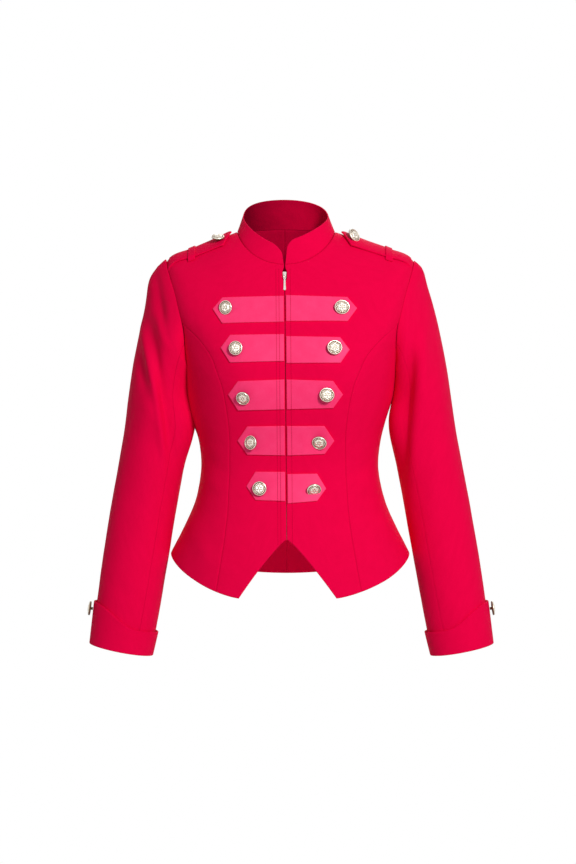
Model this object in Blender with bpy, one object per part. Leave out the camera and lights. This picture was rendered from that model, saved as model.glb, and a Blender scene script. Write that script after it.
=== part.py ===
"""A cropped red parade jacket, filled out and hollow, held up by whoever wears it.

Metres, +Z up, front towards -Y. Left and right are as seen from the front, so left is -X.
The origin is the middle of the neck's base, level with the tops of the shoulders.
"""
import functools
import math

import bmesh
import bpy
import numpy as np
from mathutils import Matrix, Vector

MM = 0.001

# Cloth and seams, in millimetres
CLOTH = 2.0
SEAM = 0.3
SATIN = 1.5
TAPE = 0.8

# The body's levels, from below the hem up to the neck seam, in millimetres. A level lies flat
# below the underarm and climbs over the shoulder above it. The columns are the height at the
# front, side and back, the half width, the depth ahead and behind, and how square the ring is.
BODY = np.array([
    (-600, -600, -600, 214, 150, 131, 0.03),
    (-540, -540, -540, 199, 140, 122, 0.03),
    (-500, -500, -500, 186, 131, 114, 0.03),
    (-460, -460, -460, 166, 118, 101, 0.03),
    (-425, -425, -425, 150, 106, 90, 0.03),
    (-395, -395, -395, 141.5, 99, 83, 0.03),
    (-361, -361, -361, 137, 95, 78, 0.03),
    (-325, -325, -325, 140, 98.5, 81, 0.03),
    (-285, -285, -285, 148.5, 107, 88, 0.03),
    (-245, -245, -245, 156, 113, 95, 0.03),
    (-210, -210, -210, 163, 113, 100, 0.04),
    (-178, -150, -168, 175, 108, 103, 0.05),
    (-150, -95, -122, 189, 100, 101, 0.035),
    (-124, -46, -80, 191, 91, 93, 0.0),
    (-101, -28, -48, 152, 82, 82, 0.01),
    (-78, -13, -18, 113, 72, 68, 0.03),
    (-54, 0, 9, 76, 62, 55, 0.03),
])
WAIST, CHEST, UNDERARM, TIP, NECK = 6, 9, 10, 13, 16
RIDGE = 1.6                      # how softly the shoulder rounds over

# Fullness that the front princess seams let in over the chest
BUST_X, BUST_Z, BUST_ACROSS, BUST_TALL, BUST_DEEP = 78, -225, 62, 62, 9

# Armhole: an egg in the body's angle and level, widest halfway up
ARMHOLE_MID, ARMHOLE_HALF = 11.5, 1.5
ARMHOLE_AHEAD, ARMHOLE_BEHIND = 29, 27
FRONT_JOIN, BACK_JOIN = 96, 84   # where the princess seams meet it, round from its top
TIP_TURNS = (12.0, 26.0)         # the two corners of the pieces nearest its top

# Princess seams: how far out at each height, in millimetres
FRONT_PRINCESS = [
    (-544, 108), (-499, 100.5), (-455, 94), (-410, 90), (-358, 88), (-305, 88.3), (-277, 91.5),
    (-238, 99.3), (-217, 107.3), (-200, 114.2), (-185, 123.8), (-164, 142)]
BACK_PRINCESS = [
    (-545, 112), (-500, 99), (-455, 88), (-410, 80), (-358, 76), (-305, 80), (-260, 88),
    (-225, 99), (-195, 114), (-165, 134)]

# Hem: height at the zip, at the front points, at the sides and at the back
HEM_ZIP, HEM_POINT, HEM_SIDE, HEM_BACK = -468, -554, -497, -539
POINT_ANGLE = 18.8
CUT_CURVE, HEM_CURVE = 1.3, 1.3

# The front edges: half the gap along the zip, and round the slider at its top
GAP, GAP_TOP = 0.9, 3.4
GAP_OPENS, GAP_OPEN = -100, -79

# Sleeve rings from the underarm down: height, middle, half width, middle and half depth, tilt
SLEEVE = np.array([
    (-260, 205, 45.5, 2, 60, 0),
    (-307, 205.5, 51, 0, 56, 2),
    (-360, 215, 50.5, -3, 52, 4),
    (-430, 227.5, 50.3, -8, 48, 6),
    (-500, 239, 50, -15, 45, 8),
    (-570, 250.5, 48, -24, 42, 10),
    (-642, 263, 45, -32, 39, 11.5),
])
SLEEVE_SPLIT = 2                 # steps below the princess seams where the two halves meet
SLEEVE_OVERLAP = 0.17            # degrees left free beside the seam between the halves
CAP_FULL_SIDE, CAP_FULL_TOP, CAP_LEVEL = 0.15, 0.215, 0.40

# Soft troughs and ridges in the sleeves: side, round, along, half spans of each, depth
SLEEVE_FOLDS = [
    (-1, 60, 0.75, 22, 0.30, -3.0), (-1, 95, 0.55, 16, 0.28, 2.5), (-1, 125, 1.3, 18, 0.55, -3.0),
    (-1, 75, 1.4, 16, 0.8, 2.4), (1, 128, 1.1, 18, 0.75, -3.2), (1, 92, 1.0, 16, 0.9, 2.4),
    (1, 60, 0.6, 20, 0.25, -2.0), (-1, 60, 3.4, 30, 0.5, -1.8), (1, 65, 3.7, 30, 0.5, -1.8),
    (-1, 250, 1.2, 24, 0.5, -2.5), (1, 255, 1.0, 24, 0.5, -2.5), (-1, 290, 3.2, 30, 0.4, -2.0),
    (1, 285, 3.4, 30, 0.4, -2.0),
]

# Cuffs: wall, how far each edge stands off the sleeve, and how high it is inside and outside
CUFF_WALL = 2.4
CUFF_OFF_LOW, CUFF_OFF_HIGH = 0.5, 1.9
CUFF_INSIDE, CUFF_OUTSIDE = 36, 65
CUFF_BUTTON_DOWN, CUFF_BUTTON_ROOM = 13, 0.4
STATION_STEP = 72.0              # height of one of the sleeve's lower stations

# Collar: the top ring's heights and sizes, and the rounding of its front corners
COLLAR_TOP_SIDE, COLLAR_TOP_BACK = 24, 55
COLLAR_TOP_FRONT = {-1: -27, 1: -19}
COLLAR_HALF, COLLAR_AHEAD, COLLAR_BEHIND = 66, 57, 49
COLLAR_ROUND = {-1: 15, 1: 9}
COLLAR_FRONT = 33

# Satin tabs, one row each from the top: height, reach of the corner and of the tip, half height,
# reach and height of the button, its lean across and up in degrees
TABS = [
    (-124, 94, 108.5, 19.5, 86.6, -123, 4, -4),
    (-185, 82, 96, 20.2, 73.7, -183.5, 6, 3),
    (-252.5, 70.7, 85.2, 21.8, 63.2, -255.5, 10, 8),
    (-320.8, 57.7, 72.3, 21.8, 51.7, -324, 9, -6),
    (-389.4, 46, 59.5, 22, 41.2, -394.5, 8, 7),
]
TAB_START = 3.0
TAB_LIFT = 0.8

# Buttons: a turned dome in a rim, on a shank
BUTTON_HALF, BUTTON_RISE, BUTTON_RIM, SHANK_HALF, SHANK_TALL = 10.8, 3.6, 1.6, 2.4, 3.2
BUTTON_SIDES = 12

# Shoulder straps and their loops
STRAP_HALF, STRAP_OUT, STRAP_SHOULDER, STRAP_POINT = 23, 186, 97, 83
STRAP_FORWARD_IN, STRAP_FORWARD_OUT = -9, -1.5
STRAP_WALL, STRAP_LIFT, STRAP_TIP_LIFT = 2.0, 1.0, 3.0
STRAP_FREE, STRAP_FREE_SPAN = 124, 41
STRAP_BUTTON, STRAP_BUTTON_FORWARD = 104, -12
LOOP_AT, LOOP_HALF, LOOP_WALL, LOOP_ROOM = 151, 5.5, 1.4, 0.5

# The loop's section: distance from its middle as a share of the strap's half width, and how far
# down from its top each place is
LOOP_STEPS = [(0, 0), (0.35, 0), (0.7, 0), (1.017, 0), (1.08, 0.25), (1.15, 0.7), (1.22, 0.86)]

# Zip: tapes behind the front edges, the closed chain, its slider and pull
TAPE_IN, TAPE_OUT = 3.5, 14
TAPE_FACE = -(CLOTH + 2.5 * SEAM)
CHAIN_HALF, CHAIN_WALL = 2.3, 2.2
ZIP_TOP, CHAIN_TOP, ZIP_LOW = -56, -76.5, -467
SLIDER_Z, SLIDER_HALF_X, SLIDER_HALF_Z, SLIDER_WALL = -70.5, 3.0, 5.2, 4.0
BRIDGE_HALF_X, BRIDGE_HALF_Z, BRIDGE_RISE, BRIDGE_BAR = 0.8, 3.2, 1.7, 0.8
ARCH_FOOT, PIN_ROOM = 0.3, 0.35
PIN_HALF, PULL_HALF, PULL_LONG, PULL_WALL = 0.45, 2.0, 20, 1.0
PULL_FRAME, PULL_CHAMFER, PULL_HOLE = 0.85, 1.0, 5.0

# How the middle of the dressed jacket hangs to the left of its sides, more at the top
SWAY_TOP, SWAY_LOW, SWAY_SIDE, SWAY_REACH = -6.2, -2.6, 2.6, 145
SLEEVE_SIDE_TOP, SLEEVE_SIDE_LOW = -0.6, 2.0

RED = (0.80, 0.005, 0.055, 1)
PINK = (0.90, 0.05, 0.16, 1)
GOLD = (0.80, 0.72, 0.56, 1)
SILVER = (0.75, 0.75, 0.76, 1)


def clear_scene():
    """Remove whatever the scene holds."""
    for item in list(bpy.data.objects):
        bpy.data.objects.remove(item, do_unlink=True)


def finish_of(name, colour, rough, metal):
    """One Principled material."""
    material = bpy.data.materials.new(name)
    material.use_nodes = True
    shader = material.node_tree.nodes["Principled BSDF"]
    shader.inputs["Base Color"].default_value = colour
    shader.inputs["Roughness"].default_value = rough
    shader.inputs["Metallic"].default_value = metal
    material.diffuse_color = colour
    return material


def read_rows(table, at):
    """The table's columns at a fractional row number, on a smooth curve through its rows."""
    at = np.asarray(at, float)
    first = np.clip(np.floor(at).astype(int), 0, len(table) - 2)
    part = (at - first)[..., None]
    padded = np.vstack([2 * table[0] - table[1], table, 2 * table[-1] - table[-2]])
    before, start, end, after = (padded[first + step] for step in range(4))
    bend = 2 * before - 5 * start + 4 * end - after
    twist = 3 * start - before - 3 * end + after
    return 0.5 * (2 * start + (end - before) * part + bend * part ** 2 + twist * part ** 3)


def through(points, at):
    """A smooth curve through (place, value) points, in order of place."""
    places, values = (np.array(column, float) for column in zip(*points))
    return read_rows(values[:, None], np.interp(at, places, np.arange(len(places))))[..., 0]


def body(angle, level):
    """A point of the jacket's outside, in millimetres. Angle 0 is the zip, 90 the side."""
    angle = np.asarray(angle, float)
    turn = np.radians(angle)
    ahead = np.cos(turn)
    row = read_rows(BODY, np.broadcast_to(level, angle.shape))
    front_z, side_z, back_z, wide, deep_front, deep_back, square = np.moveaxis(row, -1, 0)
    end_z = np.where(ahead >= 0, front_z, back_z)
    deep = np.where(ahead >= 0, deep_front, deep_back)
    x = wide * (np.sin(turn) + square * np.sin(3 * turn)) / (1 - square)
    y = -deep * (ahead - square * np.cos(3 * turn)) / (1 - square)
    share = np.abs(ahead) ** RIDGE
    z = share * end_z + (1 - share) * side_z
    full = np.exp(-((np.abs(x) - BUST_X) / BUST_ACROSS) ** 2 - ((z - BUST_Z) / BUST_TALL) ** 2)
    y = y - BUST_DEEP * full * np.clip(ahead * 2, 0, 1)
    return np.stack([x, y, z], -1)


def slopes(angle, level):
    """How the body's point moves with the angle and with the level."""
    across = (body(angle + 0.05, level) - body(angle - 0.05, level)) / 0.1
    up = (body(angle, level + 0.005) - body(angle, level - 0.005)) / 0.01
    return across, up


def unit(vectors):
    return vectors / np.linalg.norm(vectors, axis=-1, keepdims=True)


def body_normal(angle, level):
    across, up = slopes(angle, level)
    return unit(np.cross(across, up))


def place_on_body(goal, axes, angle, level):
    """The angle and level where two of the body's coordinates meet the goal."""
    goal = np.asarray(goal, float)
    angle = np.full(goal.shape[:-1], float(angle))
    level = np.zeros(goal.shape[:-1]) + level
    for _ in range(40):
        miss = goal - body(angle, level)[..., axes]
        across, up = (slope[..., axes] for slope in slopes(angle, level))
        size = across[..., 0] * up[..., 1] - across[..., 1] * up[..., 0]
        turn = (miss[..., 0] * up[..., 1] - miss[..., 1] * up[..., 0]) / size
        rise = (across[..., 0] * miss[..., 1] - across[..., 1] * miss[..., 0]) / size
        angle = angle + np.clip(turn, -6, 6)
        level = level + np.clip(rise, -0.4, 0.4)
    return angle, level


def nudged(angle, level, distance):
    """The angle moved by a distance in millimetres along its level."""
    across, _ = slopes(angle, level)
    return angle + distance / np.linalg.norm(across, axis=-1)


def level_at(height):
    """The level of a height below the underarm."""
    levels = np.linspace(0, UNDERARM, 401)
    return np.interp(height, body(np.full(401, 90.0), levels)[:, 2], levels)


def hem_height(angle):
    """The hem's height round the body."""
    cut = HEM_ZIP + (HEM_POINT - HEM_ZIP) * (np.clip(angle, 0, POINT_ANGLE) / POINT_ANGLE) ** CUT_CURVE
    side = np.clip((angle - POINT_ANGLE) / (90 - POINT_ANGLE), 0, 1)
    skirt = HEM_POINT + (HEM_SIDE - HEM_POINT) * np.sin(np.radians(90 * side)) ** HEM_CURVE
    rear = HEM_SIDE + (HEM_BACK - HEM_SIDE) * np.sin(np.radians(angle - 90)) ** 2
    return np.where(angle < POINT_ANGLE, cut, np.where(angle < 90, skirt, rear))


def armhole(turn, behind):
    """The armhole's angle and level, round from its top by turn degrees."""
    reach = ARMHOLE_BEHIND if behind else -ARMHOLE_AHEAD
    angle = 90 + reach * np.sin(np.radians(turn))
    return angle, ARMHOLE_MID + ARMHOLE_HALF * np.cos(np.radians(turn))


@functools.cache
def princess_curve(behind):
    """The levels and angles of a princess seam, from the hem up to its armhole."""
    goal = np.array(BACK_PRINCESS if behind else FRONT_PRINCESS, float)[:, ::-1]
    join = armhole(BACK_JOIN if behind else FRONT_JOIN, behind)
    angles, levels = place_on_body(goal, [0, 2], 140 if behind else 40, level_at(goal[:, 1]))
    return np.append(levels, join[1]), np.append(angles, join[0])


def princess(level, behind):
    """The angle of a princess seam at a level below its armhole."""
    return through(zip(*princess_curve(behind)), level)


def armhole_turns(behind):
    """The corners of the cut pieces round half an armhole: above and below the seam."""
    join = BACK_JOIN if behind else FRONT_JOIN
    return np.linspace(join, TIP_TURNS[1], 6), np.linspace(join, 180, 7)


def seam_levels(behind):
    """The rows that the pieces on both sides of a princess seam share, from the waist up."""
    join_level = float(armhole(BACK_JOIN if behind else FRONT_JOIN, behind)[1])
    below = np.linspace(WAIST, CHEST, 5, endpoint=False)
    return np.concatenate([below, np.linspace(CHEST, join_level, 6)])


def gap_half(height):
    """Half the gap between the front edges."""
    part = np.clip((height - GAP_OPENS) / (GAP_OPEN - GAP_OPENS), 0, 1)
    return GAP + (GAP_TOP - GAP) * part * part * (3 - 2 * part)


def middle_edge(level, behind):
    """The angle of the edge on the middle line: the zip's edge, or the back's seam."""
    level = np.asarray(level, float)
    if behind:
        return nudged(np.full(level.shape, 180.0), level, -SEAM / 2)
    height = body(np.zeros(level.shape), level)[..., 2]
    return nudged(np.zeros(level.shape), level, gap_half(height))


def outer_edge(level, behind):
    """The far edge of a front or back: princess seam, armhole, then shoulder seam."""
    level = np.asarray(level, float)
    sign = -1 if behind else 1
    join_level = armhole(BACK_JOIN if behind else FRONT_JOIN, behind)[1]
    seam = nudged(princess(level, behind), level, -sign * SEAM / 2)
    part = np.clip((level - ARMHOLE_MID) / ARMHOLE_HALF, -1, 1)
    hole = armhole(np.degrees(np.arccos(part)), behind)[0]
    shoulder = nudged(np.full(level.shape, 90.0), level, -sign * SEAM / 2)
    far = np.where(level < join_level - 0.003, seam, hole)
    beyond = far > shoulder if not behind else far < shoulder
    return np.where((level >= TIP) | beyond, shoulder, far)


def hem_rows(fractions, near, far, behind, count):
    """Rows of a panel from the hem up to just under the waist."""
    level = np.full(len(fractions), 1.5)
    for _ in range(30):
        angle = near(level, behind) + fractions * (far(level, behind) - near(level, behind))
        level = level_at(hem_height(angle))
    steps = np.linspace(0, 1, count, endpoint=False)[:, None]
    levels = level + (WAIST - level) * steps
    angles = near(levels, behind) + fractions * (far(levels, behind) - near(levels, behind))
    return angles, levels


def front_fractions(inner, outer):
    """Column places on a front, one of them on the hem's point."""
    low, high = 0.0, 1.0
    for _ in range(30):
        middle = (low + high) / 2
        angle = hem_rows(np.array([middle]), middle_edge, outer_edge, False, 1)[0][0, 0]
        low, high = (middle, high) if angle < POINT_ANGLE else (low, middle)
    return np.concatenate([np.linspace(0, low, inner + 1), np.linspace(low, 1, outer + 1)[1:]])


def tall_panel(behind):
    """Angles and levels of a front or back, from the hem to the neck and shoulder seam."""
    fractions = np.linspace(0, 1, 9) if behind else front_fractions(6, 3)
    turns = np.append(armhole_turns(behind)[0][1:], TIP_TURNS[0])
    seam = seam_levels(behind)
    seam[-1] -= 0.004
    levels = np.concatenate([seam, armhole(turns, behind)[1], np.linspace(TIP, NECK, 6)])
    low = hem_rows(fractions, middle_edge, outer_edge, behind, 5)
    high = np.repeat(levels[:, None], len(fractions), axis=1)
    near, far = middle_edge(high, behind), outer_edge(high, behind)
    angles = near + fractions * (far - near)
    return np.vstack([low[0], angles]), np.vstack([low[1], high])


def seam_edge(level, behind):
    sign = -1 if behind else 1
    return nudged(princess(level, behind), level, sign * SEAM / 2)


def side_edge(level, behind):
    sign = -1 if behind else 1
    return nudged(np.full(np.shape(level), 90.0), level, -sign * SEAM / 2)


def short_panel(behind):
    """Angles and levels of a side panel, from the hem to the lower armhole."""
    fractions = np.linspace(0, 1, 7)
    low = hem_rows(fractions, seam_edge, side_edge, behind, 5)
    rows = seam_levels(behind)
    steps = rows[rows < CHEST - 0.001][:, None] + np.zeros(len(fractions))
    near = seam_edge(steps, behind)
    middle = near + fractions * (side_edge(steps, behind) - near)
    turns = armhole_turns(behind)[1]
    turns[0] += 0.4
    turns[-1] -= 0.3
    top_angle, top_level = armhole(turns, behind)
    chest = np.array(float(CHEST))
    start = seam_edge(chest, behind)
    at_chest = start + fractions * (side_edge(chest, behind) - start)
    part = np.linspace(0, 1, 6)[:, None]
    levels = CHEST + (top_level - CHEST) * part
    angles = at_chest + (top_angle - at_chest) * part
    seam = seam_edge(levels[:, :1], behind)
    angles = angles + (1 - fractions) * (seam - angles[:, :1]) * (1 - part ** 8)
    return np.vstack([low[0], middle, angles]), np.vstack([low[1], steps, levels])


def shift_at(x, z):
    """How far the sway moves a point to the right, by its place and height."""
    middle = np.interp(z, (-480, -50), (SWAY_LOW, SWAY_TOP))
    return middle + (SWAY_SIDE - middle) * np.clip(np.abs(x) / SWAY_REACH, 0, 1) ** 2


def sway(points):
    """Shift points sideways, the middle line to the left and the sides to the right."""
    points = np.array(points, float)
    points[..., 0] += shift_at(points[..., 0], points[..., 2])
    return points


def before_sway(out, height, side):
    """The distance from the middle that the sway moves to this distance from the zip."""
    target = side * np.asarray(out, float) + shift_at(0.0, height)
    x = target
    for _ in range(6):
        x = target - shift_at(x, height)
    return side * x


def mesh_object(name, points, faces, material, smooth=True):
    """An object from points in millimetres and faces, turned to face outwards."""
    mesh = bpy.data.meshes.new(name)
    mesh.from_pydata([tuple(point) for point in sway(points) * MM], [], faces)
    shape = bmesh.new()
    shape.from_mesh(mesh)
    bmesh.ops.triangulate(shape, faces=shape.faces[:])
    bmesh.ops.recalc_face_normals(shape, faces=shape.faces[:])
    shape.to_mesh(mesh)
    shape.free()
    mesh.materials.append(material)
    item = bpy.data.objects.new(name, mesh)
    bpy.context.scene.collection.objects.link(item)
    if smooth:
        mesh.shade_smooth()
        mesh.set_sharp_from_angle(angle=math.radians(40))
    return item


def wall(name, outer, inner, side, material, closed=False):
    """A thin wall between an outer and an inner grid of points, with its rims closed."""
    rows, columns = outer.shape[:2]
    points = np.concatenate([outer.reshape(-1, 3), inner.reshape(-1, 3)])
    points[:, 0] *= side
    count = rows * columns
    spans = columns if closed else columns - 1

    def at(row, column, layer):
        return layer * count + row * columns + column % columns

    faces = []
    for row in range(rows - 1):
        for column in range(spans):
            for layer in (0, 1):
                faces.append((at(row, column, layer), at(row, column + 1, layer),
                              at(row + 1, column + 1, layer), at(row + 1, column, layer)))
    for column in range(spans):
        for row in (0, rows - 1):
            faces.append((at(row, column, 0), at(row, column + 1, 0),
                          at(row, column + 1, 1), at(row, column, 1)))
    for row in range(rows - 1):
        for column in () if closed else (0, columns - 1):
            faces.append((at(row, column, 0), at(row + 1, column, 0),
                          at(row + 1, column, 1), at(row, column, 1)))
    return mesh_object(name, points, faces, material)


def body_panel(name, grid, side, material):
    """A cut piece of the body, from its grid of angles and levels."""
    outer = body(*grid)
    wall(name, outer, outer - CLOTH * body_normal(*grid), side, material)


def armhole_edge(turn):
    """The sleeve's first ring beside the armhole: points, and the way the cloth leaves them."""
    def at(value):
        value = value % 360
        behind = value > 180
        return armhole(360 - value if behind else value, behind)

    places = [at(value) for value in turn]
    ahead = [at(value + 0.5) for value in turn]
    astern = [at(value - 0.5) for value in turn]
    points = body(*np.array(places).T)
    along = unit(body(*np.array(ahead).T) - body(*np.array(astern).T))
    normal = body_normal(*np.array(places).T)
    outward = unit(np.cross(normal, along))
    fold = np.radians(10 + 160 * ((1 - np.cos(np.radians(turn))) / 2) ** 2.2)[:, None]
    start = points + SEAM * 1.2 * (np.cos(fold / 2) * outward + np.sin(fold / 2) * normal)
    leave = np.cos(fold) * outward + np.sin(fold) * normal
    face = np.cos(fold) * normal - np.sin(fold) * outward
    return start, leave, face


def sleeve_ring(turn, station, side):
    """Points round the arm at a station of the sleeve's table."""
    row = read_rows(SLEEVE, np.full(len(turn), float(station)))
    height, across, wide, forward, deep, tilt = np.moveaxis(row, -1, 0)
    angle, lean = np.radians(turn), np.radians(tilt)
    share = station / (len(SLEEVE) - 1)
    across = across + side * (SLEEVE_SIDE_TOP + share * (SLEEVE_SIDE_LOW - SLEEVE_SIDE_TOP))
    out = wide * np.cos(angle)
    return np.stack([across + out * np.cos(lean), forward - deep * np.sin(angle),
                     height + out * np.sin(lean)], -1)


def folds(turn, along, side):
    """How far the sleeve's folds move its surface out."""
    move = np.zeros(len(turn))
    for hand, around, place, span, length, deep in SLEEVE_FOLDS:
        if hand == side:
            away = (np.asarray(turn) - around + 180) % 360 - 180
            move += deep * np.exp(-(away / span) ** 2 - ((along - place) / length) ** 2)
    return move


def sleeve_points(turn, along, side):
    """The sleeve's outside at a distance along: 0 to 1 is the cap, then the table's stations."""
    turn = np.asarray(turn, float)
    if along >= 1:
        smooth = sleeve_ring(turn, along - 1, side)
    else:
        start, leave, _ = armhole_edge(turn)
        end = sleeve_ring(turn, 0, side)
        down = unit(sleeve_ring(turn, 0.02, side) - end)
        reach = np.linalg.norm(end - start, axis=-1, keepdims=True)
        top = np.clip(np.cos(np.radians(turn)), 0, 1)[:, None] ** 2
        full = CAP_FULL_SIDE + (CAP_FULL_TOP - CAP_FULL_SIDE) * top
        one = start + full * reach * leave
        two = end - CAP_LEVEL * reach * down
        rest = 1 - along
        smooth = (rest ** 3 * start + 3 * rest ** 2 * along * one
                  + 3 * rest * along ** 2 * two + along ** 3 * end)
    row = read_rows(SLEEVE, np.array(max(along - 1, 0.0)))
    centre = np.array([row[1], row[3]])
    away = smooth[:, :2] - centre
    away = away / np.linalg.norm(away, axis=-1, keepdims=True)
    inside = 0.25 + 0.75 * (1 + np.cos(np.radians(turn - 20))) / 2
    push = folds(turn, along, side) * np.clip(along * 4, 0, 1) * inside
    smooth[:, :2] += away * push[:, None]
    return smooth


def sleeve_wall(turn, along, side, offset):
    """Sleeve points moved out along the surface by the offset."""
    base = sleeve_points(turn, along, side)
    if along < 0.001:
        return base + offset * armhole_edge(np.asarray(turn, float))[2]
    step = 0.01
    round_it = sleeve_points(turn + 0.5, along, side) - sleeve_points(turn - 0.5, along, side)
    last = len(SLEEVE)
    high, low = max(along - step, 0.0005), min(along + step, last)
    down = sleeve_points(turn, low, side) - sleeve_points(turn, high, side)
    return base + offset * unit(np.cross(round_it, down))


def sleeve_turns():
    """The corners round the upper and the under sleeve, matched to the armhole's own."""
    front_high, front_low = armhole_turns(False)
    back_high, back_low = armhole_turns(True)
    cut = SLEEVE_SPLIT + 1
    back = np.concatenate([-back_low[:cut][::-1], -back_high[1:], [-TIP_TURNS[0]]])
    front = np.concatenate([[TIP_TURNS[0]], front_high[::-1], front_low[1:cut]])
    upper = np.concatenate([back, [0.0], front])
    under = np.concatenate([front_low[cut - 1:], 360 - back_low[cut - 1:-1][::-1]])
    return upper, under


def sleeve_piece(name, turn, side, material):
    """The upper or under sleeve, from the armhole to just inside the cuff."""
    turn = turn.copy()
    turn[0] += SLEEVE_OVERLAP
    turn[-1] -= SLEEVE_OVERLAP
    stations = np.concatenate([
        [0, 0.07, 0.2, 0.4, 0.62, 0.82], np.linspace(1, 6.96, 11)])
    outer = np.array([sleeve_wall(turn, along, side, 0) for along in stations])
    inner = np.array([sleeve_wall(turn, along, side, -CLOTH) for along in stations])
    wall(name, outer, inner, side, material)


def cuff_height(turn):
    """The cuff's height round the arm, highest on its outside."""
    part = np.clip((np.cos(np.radians(turn)) + 0.5) / 1.5, 0, 1)
    return CUFF_INSIDE + (CUFF_OUTSIDE - CUFF_INSIDE) * part * part * (3 - 2 * part)


def cuff_points(turn, up, side, offset):
    """A ring of the cuff: up is 0 at the wrist and 1 at the slanted edge."""
    last = len(SLEEVE)
    points = []
    for value in np.atleast_1d(turn):
        along = last - up * cuff_height(value) / STATION_STEP
        points.append(sleeve_wall(np.array([value]), along, side, offset)[0])
    return np.array(points)


def cuff(name, side, material):
    turn = np.arange(0, 360, 18.0)
    ups = np.linspace(0, 1, 4)
    low, high = CUFF_OFF_LOW, CUFF_OFF_HIGH
    inner = np.array([cuff_points(turn, up, side, low + up * (high - low)) for up in ups])
    outer = np.array([
        cuff_points(turn, up, side, low + up * (high - low) + CUFF_WALL) for up in ups])
    wall(name, outer, inner, side, material, closed=True)


def collar_point(angle, up):
    """The collar's outside: angle 0 is the front, and up is 0 at the neck seam, 1 at the top."""
    angle = np.asarray(angle, float)
    turn = np.radians(angle)
    side = np.where(np.sin(turn) < 0, -1, 1)
    foot = body(np.abs(angle), np.full(angle.shape, float(NECK)))
    foot[..., 0] *= side
    foot[..., 2] += SEAM * 1.3
    ahead = np.cos(turn)
    front_z = np.where(side < 0, COLLAR_TOP_FRONT[-1], COLLAR_TOP_FRONT[1])
    tilt = (COLLAR_TOP_BACK - front_z) / 2
    bow = (COLLAR_TOP_BACK + front_z) / 2 - COLLAR_TOP_SIDE
    deep = np.where(ahead >= 0, COLLAR_AHEAD, COLLAR_BEHIND)
    top = np.stack([COLLAR_HALF * np.sin(turn), -deep * ahead,
                    COLLAR_TOP_SIDE - tilt * ahead + bow * ahead ** 2], -1)
    up = np.asarray(up, float)[..., None]
    return foot + (top - foot) * up


def collar_grid(front, back, rows):
    """Angles and heights over the collar, from the pieces' own corners at the neck."""
    ends = front[0]
    half = np.concatenate([[ends], ends + np.array([2.2, 5.0, 8.5]), front[2:], back[-2:0:-1]])
    angles = np.concatenate([half, [180.0], -half[::-1]])
    radius = np.where(angles < 0, COLLAR_ROUND[-1], COLLAR_ROUND[1])
    away = np.radians(np.abs(angles) - ends) * COLLAR_HALF * 0.9
    drop = 1 - np.clip(away / radius, 0, 1)
    top = 1 - radius / COLLAR_FRONT * (1 - np.sqrt(np.clip(1 - drop ** 2, 0, 1))) * 0.95
    return np.repeat(angles[None], rows, 0), np.linspace(0, 1, rows)[:, None] * top


def collar_normal(angle, up):
    across = collar_point(angle + 0.2, up) - collar_point(angle - 0.2, up)
    rise = collar_point(angle, up + 0.01) - collar_point(angle, up - 0.01)
    return unit(np.cross(across, rise))


def collar(front, back, material):
    """The stand collar, from the neck rows of the front and the back."""
    angles, ups = collar_grid(front, back, 5)
    outer = collar_point(angles, ups)
    wall("collar", outer, outer - CLOTH * collar_normal(angles, ups), 1, material)


def tab(name, row, side, material):
    """A pointed satin tab that lies on the front."""
    height, corner, tip, half = TABS[row][:4]
    across = np.concatenate([np.linspace(TAB_START, corner, 3 + round(corner / 13)), [tip - 0.5]])
    taper = np.where(across > corner, 0.03, 1.0)
    up = np.linspace(-1, 1, 3)[:, None]
    across = before_sway(across, height, side)
    goal = np.stack([across + 0 * up, height + half * up * taper], -1)
    angle, level = place_on_body(goal, [0, 2], 30, level_at(height))
    seat, normal = body(angle, level), body_normal(angle, level)
    wall(name, seat + (TAB_LIFT + SATIN) * normal, seat + TAB_LIFT * normal, side, material)


def button(name, seat, normal, lean_across, lean_up, material):
    """A domed shank button standing on its seat."""
    foot = SHANK_TALL
    low = foot + BUTTON_RIM
    profile = [
        (SHANK_HALF, 0), (SHANK_HALF, foot), (BUTTON_HALF, foot + 0.3), (BUTTON_HALF, low),
        (BUTTON_HALF * 0.6, low + BUTTON_RISE * 0.7)]
    points = []
    for out, rise in profile:
        for step in range(BUTTON_SIDES):
            turn = 2 * math.pi * step / BUTTON_SIDES
            points.append((out * math.cos(turn), out * math.sin(turn), rise))
    points.append((0, 0, low + BUTTON_RISE))
    count = BUTTON_SIDES
    faces = [tuple(range(count))]
    for ring in range(len(profile) - 1):
        for step in range(count):
            after = (step + 1) % count
            faces.append((ring * count + step, ring * count + after,
                          (ring + 1) * count + after, (ring + 1) * count + step))
    base = (len(profile) - 1) * count
    for step in range(count):
        faces.append((base + step, base + (step + 1) % count, len(points) - 1))
    facing = Vector(normal).to_track_quat("Z", "Y").to_matrix()
    lean = Matrix.Rotation(math.radians(lean_across), 3, "Y")
    lean = lean @ Matrix.Rotation(math.radians(lean_up), 3, "X")
    lift = SHANK_HALF * math.sin(math.radians(math.hypot(lean_across, lean_up))) + SEAM
    placed = [Vector(seat) + Vector(normal) * lift + facing @ (lean @ Vector(p)) for p in points]
    mesh_object(name, np.array(placed), faces, material)


def strap_surface(x, y, offset):
    """A point over the shoulder, moved out by the offset."""
    goal = np.stack([x, y], -1)
    angle, level = place_on_body(goal, [0, 1], 90, 14)
    return body(angle, level) + np.asarray(offset)[..., None] * body_normal(angle, level)


def strap_middle(out):
    """How far ahead of the shoulder's ridge a strap's middle line runs."""
    return np.interp(out, (STRAP_SHOULDER, STRAP_OUT), (STRAP_FORWARD_IN, STRAP_FORWARD_OUT))


def strap_lift(out):
    """How far a strap stands off the shoulder: its pointed end is free."""
    free = np.clip((STRAP_FREE - out) / STRAP_FREE_SPAN, 0, 1)
    return STRAP_LIFT + STRAP_TIP_LIFT * free ** 1.5


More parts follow.
